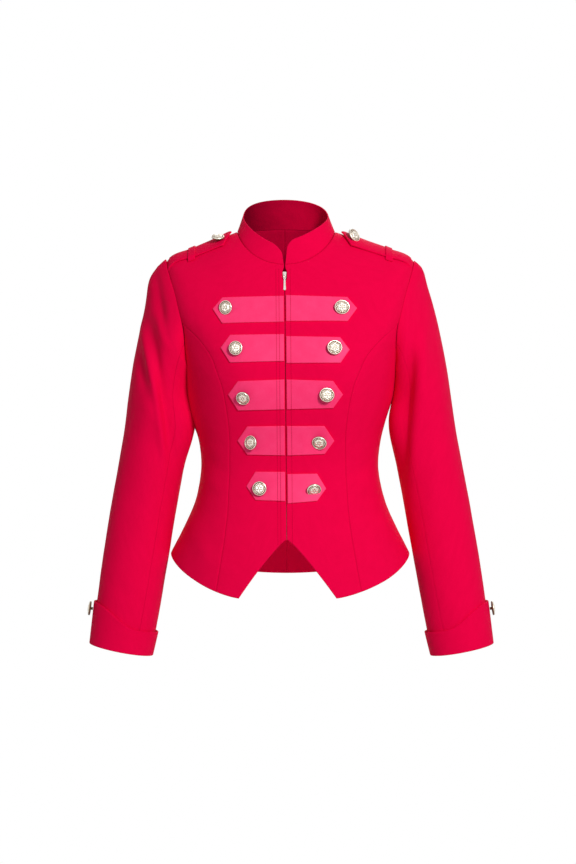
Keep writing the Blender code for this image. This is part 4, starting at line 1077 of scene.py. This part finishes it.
def strap_seat(side):
    """Where a strap's button sits, and which way it faces."""
    x, y, turned = STRAP_BUTTONS[side]
    x, y = np.array([float(x)]), np.array([float(y)])
    seat = strap_surface(x, y, strap_lift(x) + STRAP_WALL + BUTTON_ROOM)[0]
    normal = unit(seat - strap_surface(x, y, np.array([0.0]))[0])
    return handed(seat, side), handed(unit(normal + np.array(turned)), side)


def cuff_seat(side):
    """Where a cuff's button sits, and which way it faces."""
    up = 1 - CUFF_BUTTON_DOWN / CUFF_OUTSIDE
    off = CUFF_OFF_LOW + up * (CUFF_OFF_HIGH - CUFF_OFF_LOW) + CUFF_WALL
    seat, ahead = (cuff_point(np.array([0.0]), np.array([up]), side, np.array([off + more]))[0]
                   for more in (0.4, 5))
    return handed(seat, side), handed(unit(ahead - seat), side)


def zip_tape(name, side):
    """A woven tape behind a front edge."""
    across = np.linspace(TAPE_IN, TAPE_OUT, 8)
    heights = np.linspace(ZIP_LOW, ZIP_TOP, 130)
    goal = np.stack(np.meshgrid(across, heights), -1)
    base, normal = front_at(goal, 2.0, goal[..., 1])
    return shell(name, base + TAPE_FACE * normal, base + (TAPE_FACE - TAPE) * normal, side)


def front_line(height):
    """Points and outward directions of the middle front at some heights."""
    goal = np.stack([np.full(np.shape(height), 0.01), np.asarray(height, float)], -1)
    return front_at(goal, 0.5, height)


def zip_teeth(name):
    """Two rows of closed metal teeth on the tapes' edges."""
    pitch = 1.45
    heights = np.arange(ZIP_LOW + 1, CHAIN_TOP, pitch)
    base, normal = front_line(heights)
    up = unit(np.gradient(base, axis=0))
    points, faces = [], []
    for step in range(len(heights)):
        way = 1 if step % 2 else -1
        across = np.array([1.0, 0, 0])
        near, far = -0.7 * way, 2.2 * way
        for x in (near, far):
            tall = 0.62 if x == far else 0.46
            for z in (-tall, tall):
                for deep in (TAPE_FACE + 0.1, TAPE_FACE - CHAIN_WALL + 0.2):
                    points.append(base[step] + across * x + up[step] * z + normal[step] * deep)
        first = step * 8
        faces += [tuple(first + c for c in quad) for quad in
                  ((0, 1, 3, 2), (4, 6, 7, 5), (0, 2, 6, 4), (1, 5, 7, 3), (0, 4, 5, 1),
                   (2, 3, 7, 6))]
    return make_object(name, np.array(points), faces, smooth_angle=30)


def sewn_line(name, points, normal, side):
    """A row of stitches laid along a line of points."""
    far = lengths(points[None], 1)[0]
    starts = np.arange(0, far[-1] - STITCH, STITCH + STITCH_GAP)
    shapes, faces = [], []
    rise = np.array([-0.05, 0.32, 0.4, 0.32, -0.05])
    for number, start in enumerate(starts):
        at = start + np.linspace(0, 1, 5) * STITCH
        spot, out = (np.stack([np.interp(at, far, along[:, axis]) for axis in range(3)], -1)
                     for along in (points, normal))
        out = unit(out)
        aside = unit(np.cross(out, unit(spot[-1:] - spot[:1])))
        middle = spot + rise[:, None] * out
        ring = [middle + STITCH_HALF * way for way in (aside, out, -aside, -out)]
        shapes.append(np.stack(ring, 1).reshape(-1, 3))
        faces.append(grid_faces(5, 4, True, number * 20))
    made = handed(np.concatenate(shapes), side)
    return make_object(name, made, np.concatenate(faces).tolist(), smooth_angle=80)


def panel_line(out, side):
    """Points and directions of a line down a front, over its tabs, beside the zip."""
    height = np.linspace(LINE_TOP, LINE_LOW, LINE_STEPS)
    lift = np.full(LINE_STEPS, 0.02)
    for row, (middle, _, _, half) in enumerate(TABS):
        over = np.abs(height - middle - TAB_RISE[side][row]) < half
        lift = np.where(over, TAB_LIFT + SATIN, lift)
    goal = np.stack([np.full(LINE_STEPS, float(out)), height], -1)
    base, normal = front_at(goal, 3.0, height)
    return base + (body_move(base, normal, side) + lift)[:, None] * normal, normal


def plate(outline, low, high, bevel, order=(0, 2, 1)):
    """Points and faces of a thick plate with rounded rims. The order says where its axes go."""
    outline = np.array(outline, float)
    way = unit(np.roll(outline, -1, 0) - np.roll(outline, 1, 0))
    out = np.stack([way[:, 1], -way[:, 0]], -1)
    bends = [math.sin(angle) for angle in np.radians([0, 30, 60, 90])]
    levels = [(low + bevel * bend, bend) for bend in bends]
    levels += [(high - bevel * bend, bend) for bend in bends[::-1]]
    rings = np.array([np.column_stack([outline - bevel * (1 - bend) * out,
                                       np.full(len(outline), depth)]) for depth, bend in levels])
    rows, columns = rings.shape[:2]
    faces = grid_faces(rows, columns, True).tolist()
    faces.append(tuple(range(columns))[::-1])
    faces.append(tuple((rows - 1) * columns + place for place in range(columns)))
    return rings.reshape(-1, 3)[:, list(order)], faces


def tube(path, radius):
    """Points and faces of a closed round bar along a loop of points."""
    sides = 10
    path = np.array(path, float)
    way = unit(np.roll(path, -1, 0) - np.roll(path, 1, 0))
    across = unit(np.cross(way, (0.0, 1.0, 0.0)))
    other = np.cross(way, across)
    turn = np.arange(sides) * 2 * math.pi / sides
    ring = path[:, None] + radius * (np.cos(turn)[:, None] * across[:, None]
                                     + np.sin(turn)[:, None] * other[:, None])
    return ring.reshape(-1, 3), ring_faces(len(path), sides)


def arc(middle, radius, first, last, steps=8):
    """Points on a circle between two angles in degrees."""
    turn = np.radians(np.linspace(first, last, steps))
    return [(middle[0] + radius * math.cos(t), middle[1] + radius * math.sin(t)) for t in turn]


def joined(name, shapes, origin, lean):
    """One object from several shapes, in a frame that leans with the front."""
    points, faces = [], []
    count = 0
    for shape_points, shape_faces in shapes:
        points.append(shape_points)
        faces += [tuple(count + corner for corner in face) for face in shape_faces]
        count += len(shape_points)
    turned = np.concatenate(points) @ np.array(Matrix.Rotation(lean, 3, "X")).T
    return make_object(name, turned + np.array(origin), faces, smooth_angle=40)


def zip_fittings():
    """The slider with its bridge, and the pull that hangs from it."""
    base, _ = front_line(np.array([SLIDER_Z, SLIDER_Z - PULL_LONG]))
    lean = -math.atan2(base[0, 1] - base[1, 1], base[0, 2] - base[1, 2])
    wide, tall = SLIDER_HALF_X, SLIDER_HALF_Z
    shield = (arc((wide - 1.2, tall - 1.2), 1.2, 0, 90)
              + arc((-wide + 1.2, tall - 1.2), 1.2, 90, 180)
              + arc((-wide + 1.7, -tall + 1.0), 1.0, 180, 270)
              + arc((wide - 1.7, -tall + 1.0), 1.0, 270, 360))
    core = [(x * 0.55, z * 0.9) for x, z in shield]
    shapes = [plate(shield, 0.0, 1.1, 0.4), plate(shield, SLIDER_WALL - 1.1, SLIDER_WALL, 0.4),
              plate(core, 0.9, SLIDER_WALL - 0.9, 0.2)]
    top = BRIDGE_RISE + BRIDGE_BAR
    inner, low = BRIDGE_HALF_Z - BRIDGE_BAR, 0.3
    arch = ([(low, -BRIDGE_HALF_Z)]
            + arc((-top + 1.3, -BRIDGE_HALF_Z + 1.3), 1.3, 270, 180, 6)
            + arc((-top + 1.3, BRIDGE_HALF_Z - 1.3), 1.3, 180, 90, 6)
            + [(low, BRIDGE_HALF_Z), (low, inner)]
            + arc((-BRIDGE_RISE + 0.6, inner - 0.6), 0.6, 90, 180, 5)
            + arc((-BRIDGE_RISE + 0.6, -inner + 0.6), 0.6, 180, 270, 5) + [(low, -inner)])
    shapes.append(plate(arch, -BRIDGE_HALF_X, BRIDGE_HALF_X, 0.2, (2, 0, 1)))
    slider = joined("zip_slider_metal", shapes, base[0], lean)
    pin_z = -BRIDGE_HALF_Z + BRIDGE_BAR + PIN_HALF + PIN_ROOM
    pin = np.array([0, -BRIDGE_RISE / 2, pin_z])
    hang = base[0] + pin @ np.array(Matrix.Rotation(lean, 3, "X")).T
    bar, half = 0.42, PULL_HALF - 0.42
    loop = (arc((half - 0.7, -0.7), 0.7, 0, 90, 5) + arc((-half + 0.7, -0.7), 0.7, 90, 180, 5)
            + arc((-half + 0.9, -4.6), 0.9, 180, 270, 5) + arc((half - 0.9, -4.6), 0.9, 270, 360, 5))
    side = [(1.0, -5.9), (1.6, -7.4), (1.4, -9.5), (1.5, -15.0), (1.8, -20.5), (PULL_HALF, -23.4)]
    leaf = side + arc((0, -23.4), 1.8, -5, -175, 9) + [(-x, z) for x, z in side[::-1]]
    ridge = [(0.42, -6.6), (0.42, -15.5), (0.0, -16.6), (-0.42, -15.5), (-0.42, -6.6), (0.0, -5.9)]
    thick = PULL_WALL / 2
    shapes = [tube([(x, 0.0, z) for x, z in loop], bar), plate(leaf[::-1], -thick, thick, 0.3),
              plate(ridge[::-1], -thick - 0.18, thick + 0.18, 0.15)]
    return slider, joined("zip_pull_metal", shapes, hang, lean)


# Materials

def feed(tree, socket, value):
    """Set a socket to a number or a colour, or link it to the socket that it comes from."""
    if isinstance(value, bpy.types.NodeSocket):
        tree.links.new(value, socket)
    else:
        socket.default_value = value


def add_node(tree, kind, inputs):
    """A new node with its inputs fed, by their names or numbers."""
    node = tree.nodes.new("ShaderNode" + kind)
    for label, value in inputs.items():
        feed(tree, node.inputs[label], value)
    return node


def add_group(tree, group, inputs):
    """A node that stands for a group, with its inputs fed."""
    node = tree.nodes.new("ShaderNodeGroup")
    node.node_tree = group
    for label, value in inputs.items():
        feed(tree, node.inputs[label], value)
    return node


def new_group(name, inputs, outputs):
    """An empty shader group with its named numbers."""
    group = bpy.data.node_groups.new(name, "ShaderNodeTree")
    for label, value in inputs.items():
        socket = group.interface.new_socket(label, in_out="INPUT", socket_type="NodeSocketFloat")
        socket.default_value = value
    for label in outputs:
        group.interface.new_socket(label, in_out="OUTPUT", socket_type="NodeSocketFloat")
    return group, group.nodes.new("NodeGroupInput"), group.nodes.new("NodeGroupOutput")


def maths(tree, operation, first, second=0.5):
    """A Math node on sockets or numbers."""
    node = add_node(tree, "Math", {0: first, 1: second})
    node.operation = operation
    return node.outputs[0]


def noise(tree, place, scale, detail, roughness=0.5):
    """A noise's value at a place."""
    return add_node(tree, "TexNoise", {"Vector": place, "Scale": scale, "Detail": detail,
                                       "Roughness": roughness}).outputs[0]


def named_map(tree, label):
    """A named map's place, and its axes."""
    place = tree.nodes.new("ShaderNodeUVMap")
    place.uv_map = label
    return place.outputs[0], add_node(tree, "SeparateXYZ", {0: place.outputs[0]}).outputs


def marked(tree, label):
    """The number that mark_points kept on a mesh."""
    node = tree.nodes.new("ShaderNodeAttribute")
    node.attribute_name = label
    return node.outputs["Fac"]


def weave_group():
    """Woven threads: their height, and a tone that changes softly over the cloth."""
    group, entry, leave = new_group("weave", {"Thread": 0.7, "Slub": 0.5}, ("Height", "Tone"))
    place, axes = named_map(group, "cloth")
    turns = maths(group, "DIVIDE", 2 * math.pi / MM, entry.outputs["Thread"])
    warp, weft = (maths(group, "SINE", maths(group, "MULTIPLY", axes[number], turns))
                  for number in range(2))
    plain = maths(group, "MULTIPLY", maths(group, "MULTIPLY", warp, weft), 0.35)
    fuzz = maths(group, "MULTIPLY", noise(group, place, 900, 3), entry.outputs["Slub"])
    cloud = maths(group, "MULTIPLY", noise(group, place, 55, 5, 0.62), 0.6)
    speck = maths(group, "MULTIPLY", noise(group, place, 700, 2), 0.4)
    feed(group, leave.inputs["Height"], maths(group, "ADD", plain, fuzz))
    feed(group, leave.inputs["Tone"], maths(group, "ADD", cloud, speck))
    return group


def lines_group():
    """A mask of the sewn lines beside the zip and above the hem, from the lines map."""
    group, entry, leave = new_group("sewn_lines", {"Half width": 0.5}, ("Mask",))
    _, axes = named_map(group, "lines")
    reach = maths(group, "MULTIPLY", entry.outputs["Half width"], MM)
    found = [(axes[0], side * out) for side, outs in PLACKET_LINES.items() for out in outs]
    mask = 0.0
    for value, line in found + [(axes[1], HEM_STITCH)]:
        away = maths(group, "ABSOLUTE", maths(group, "SUBTRACT", value, line * MM))
        near = maths(group, "SUBTRACT", 1.0, maths(group, "DIVIDE", away, reach))
        mask = maths(group, "MAXIMUM", mask, near)
    feed(group, leave.inputs["Mask"], mask)
    return group


def new_material(name):
    material = bpy.data.materials.new(name)
    material.use_nodes = True
    return material, material.node_tree, material.node_tree.nodes["Principled BSDF"]


def mix_colours(tree, factor, low, high):
    """A mix of two colours by a mask."""
    node = tree.nodes.new("ShaderNodeMix")
    node.data_type = "RGBA"
    for number, value in ((0, factor), (6, low), (7, high)):
        feed(tree, node.inputs[number], value)
    return node.outputs[2]


def stretch(tree, value, low, high, start=0.0, end=1.0):
    """A value stretched so that low becomes the start and high the end."""
    return add_node(tree, "MapRange", {"Value": value, "From Min": low, "From Max": high,
                                       "To Min": start, "To Max": end}).outputs[0]


def cloth_material(name, groups, look):
    """Woven cloth from the weave group, with its own thread, colours and sheen."""
    material, tree, shader = new_material(name)
    weave = add_group(tree, groups["weave"], {"Thread": look["thread"]})
    tone = stretch(tree, weave.outputs["Tone"], 0.36, 0.64)
    # A lean paints shade and light: the colour runs from low to high along one axis
    if "lean" in look:
        axis, start, end = look["lean"]
        place = tree.nodes.new("ShaderNodeTexCoord").outputs["Object"]
        axes = add_node(tree, "SeparateXYZ", {0: place}).outputs
        lean = maths(tree, "MULTIPLY", stretch(tree, axes[axis], start, end), 0.85)
        tone = maths(tree, "ADD", maths(tree, "MULTIPLY", tone, 0.15), lean)
    colour = mix_colours(tree, tone, look["low"], look["high"])
    sewn = add_group(tree, groups["lines"], {"Half width": LINE_HALF})
    # Sewn lines are thread colour; the seam mark paints shade along the seams
    line = maths(tree, "MAXIMUM", maths(tree, "MULTIPLY", sewn.outputs["Mask"], look["line"]),
                 maths(tree, "MULTIPLY", marked(tree, "seam"), SEAM_PAINTED_SHADE))
    height = maths(tree, "SUBTRACT", weave.outputs["Height"], maths(tree, "MULTIPLY", line, 2.0))
    grain = add_node(tree, "Bump", {"Strength": look["bump"], "Distance": 0.0004, "Height": height})
    inputs = {"Base Color": mix_colours(tree, line, colour, look["seam"]),
              "Normal": grain.outputs[0], "Roughness": look["rough"],
              "Specular IOR Level": look["specular"], "Specular Tint": look["tint"],
              "Sheen Weight": look["sheen"], "Sheen Roughness": 0.4, "Sheen Tint": look["tint"]}
    for label, value in inputs.items():
        feed(tree, shader.inputs[label], value)
    return material


def metal_material(name, colours, rough, metallic, scale, detail, relief=False):
    """Metal with fine scratches. In a relief, painted shade darkens the ornament's recesses."""
    material, tree, shader = new_material(name)
    place = tree.nodes.new("ShaderNodeTexCoord").outputs["Object"]
    mask = noise(tree, place, scale, detail)
    if relief:
        # Painted shade: the low parts of the relief take the dark colour, with some random wear
        wear = maths(tree, "MULTIPLY", maths(tree, "SUBTRACT", mask, 0.5), 0.4)
        mask = stretch(tree, maths(tree, "ADD", marked(tree, "relief"), wear), 0.04, 0.42)
    feed(tree, shader.inputs["Base Color"], mix_colours(tree, mask, *colours))
    feed(tree, shader.inputs["Roughness"], stretch(tree, mask, 0.0, 1.0, *rough))
    shader.inputs["Metallic"].default_value = metallic
    return material


def make_light(name, place, size, power):
    """A soft square lamp that faces the jacket."""
    lamp = bpy.data.lights.new(name, "AREA")
    lamp.size = size
    lamp.energy = power
    item = bpy.data.objects.new(name, lamp)
    bpy.context.scene.collection.objects.link(item)
    item.location = place
    item.rotation_euler = (Vector(LAMP_AIM) - Vector(place)).to_track_quat("-Z", "Y").to_euler()


def make_studio():
    """Camera, lamps, white surroundings and a pale floor."""
    scene = bpy.context.scene
    camera = bpy.data.cameras.new("camera")
    camera.sensor_width = 36
    camera.lens = 80.66
    camera.shift_y = -0.0373
    item = bpy.data.objects.new("camera", camera)
    scene.collection.objects.link(item)
    item.location = (-0.0008, -3.0, -0.26)
    item.rotation_euler = (math.radians(90), 0, 0)
    scene.camera = item
    scene.view_settings.view_transform = "Standard"
    for name, place, size, power in LAMPS:
        make_light(name, place, size, power)
    world = bpy.data.worlds.new("white_surroundings")
    scene.world = world
    world.use_nodes = True
    tree = world.node_tree
    glow = tree.nodes["Background"]
    path = tree.nodes.new("ShaderNodeLightPath")
    shiny = maths(tree, "MULTIPLY", path.outputs["Is Glossy Ray"], WORLD_GLOSS - WORLD_LIGHT)
    seen = maths(tree, "MULTIPLY", path.outputs["Is Camera Ray"], 1 - WORLD_LIGHT)
    level = maths(tree, "ADD", maths(tree, "ADD", shiny, seen), WORLD_LIGHT)
    glow.inputs["Color"].default_value = (1, 1, 1, 1)
    tree.links.new(level, glow.inputs["Strength"])
    sides = 96
    turns = [2 * math.pi * step / sides for step in range(sides)]
    ring = [(FLOOR_HALF * math.cos(turn), FLOOR_HALF * math.sin(turn), FLOOR_Z) for turn in turns]
    mesh = bpy.data.meshes.new("floor")
    mesh.from_pydata(ring, [], [tuple(range(sides))])
    floor = bpy.data.objects.new("floor", mesh)
    scene.collection.objects.link(floor)
    material, tree, shader = new_material("pale_floor")
    shader.inputs["Base Color"].default_value = (0.86, 0.86, 0.86, 1)
    shader.inputs["Roughness"].default_value = 0.9
    mesh.materials.append(material)


def build():
    """Make every piece, with its material, node and body."""
    groups = {"weave": weave_group(), "lines": lines_group()}
    # inside and deep are the inner faces' materials, with painted shade and light
    cloth, inside, deep, satin, tape, thread = (
        cloth_material(name, groups, look) for name, look in LOOKS.items())
    gold = metal_material("pale_gold", (RECESS_PAINTED_SHADE, CHAMPAGNE), (0.6, 0.3), 0.75, 420, 4, True)
    silver = metal_material("zip_metal", SILVER, (0.16, 0.38), 0.8, 900, 3)
    # The teeth's dark colour is painted shade of the gap between the front edges
    teeth = metal_material("zip_teeth_painted_shade", TEETH_PAINTED_SHADE, (0.16, 0.38), 0.8, 900, 3)
    kinds = {
        "front": (tall_panel(False), ("fold", "seam", "fold", "seam")),
        "back": (tall_panel(True), ("seam", "seam", "fold", "seam")),
        "side_front": (short_panel(False), ("seam", "seam", "fold", "seam")),
        "side_back": (short_panel(True), ("seam", "seam", "fold", "seam"))}
    halves = (("upper", -SLEEVE_SPLIT_BACK, SLEEVE_SPLIT_FRONT),
              ("under", SLEEVE_SPLIT_FRONT, 360 - SLEEVE_SPLIT_BACK))
    for side, label in SIDES:
        for piece, (grid, edges) in kinds.items():
            made = body_panel(f"{piece}_{label}_cloth", grid, side, edges)
            dress(made, cloth, f"{piece}_{label}", inside)
        for half, first, last in halves:
            made = sleeve_piece(f"sleeve_{half}_{label}_cloth", first + SLEEVE_GAP,
                                last - SLEEVE_GAP, side)
            dress(made, cloth, f"sleeve_{half}_{label}", inside)
        dress(cuff(f"cuff_{label}_cloth", side), cloth, f"cuff_{label}")
        for row in range(len(TABS)):
            place = f"{row + 1}_{label}"
            dress(tab(f"tab_{place}_satin", row, side), satin, f"tab_{place}")
            made = button(f"button_{place}_metal", *tab_seat(row, side))
            dress(made, gold, f"button_{place}")
        for piece, make in (("epaulette", strap), ("epaulette_loop", strap_loop)):
            dress(make(f"{piece}_{label}_cloth", side), cloth, f"{piece}_{label}")
        for piece, seat in (("epaulette_button", strap_seat), ("cuff_button", cuff_seat)):
            made = button(f"{piece}_{label}_metal", *seat(side))
            dress(made, gold, f"{piece}_{label}")
        dress(zip_tape(f"zip_tape_{label}_cloth", side), tape, f"zip_tape_{label}")
        for number, out in enumerate(PLACKET_LINES[side]):
            points, normal = panel_line(out, side)
            made = sewn_line(f"zip_stitch_{number + 1}_{label}", points, normal, side)
            dress(made, thread)
    dress(collar("collar_cloth"), cloth, "collar", deep)
    dress(zip_teeth("zip_teeth"), teeth, "zip_chain")
    slider, pull = zip_fittings()
    dress(slider, silver, "zip_slider")
    dress(pull, silver, "zip_pull", rides="pull")


build()
make_studio()
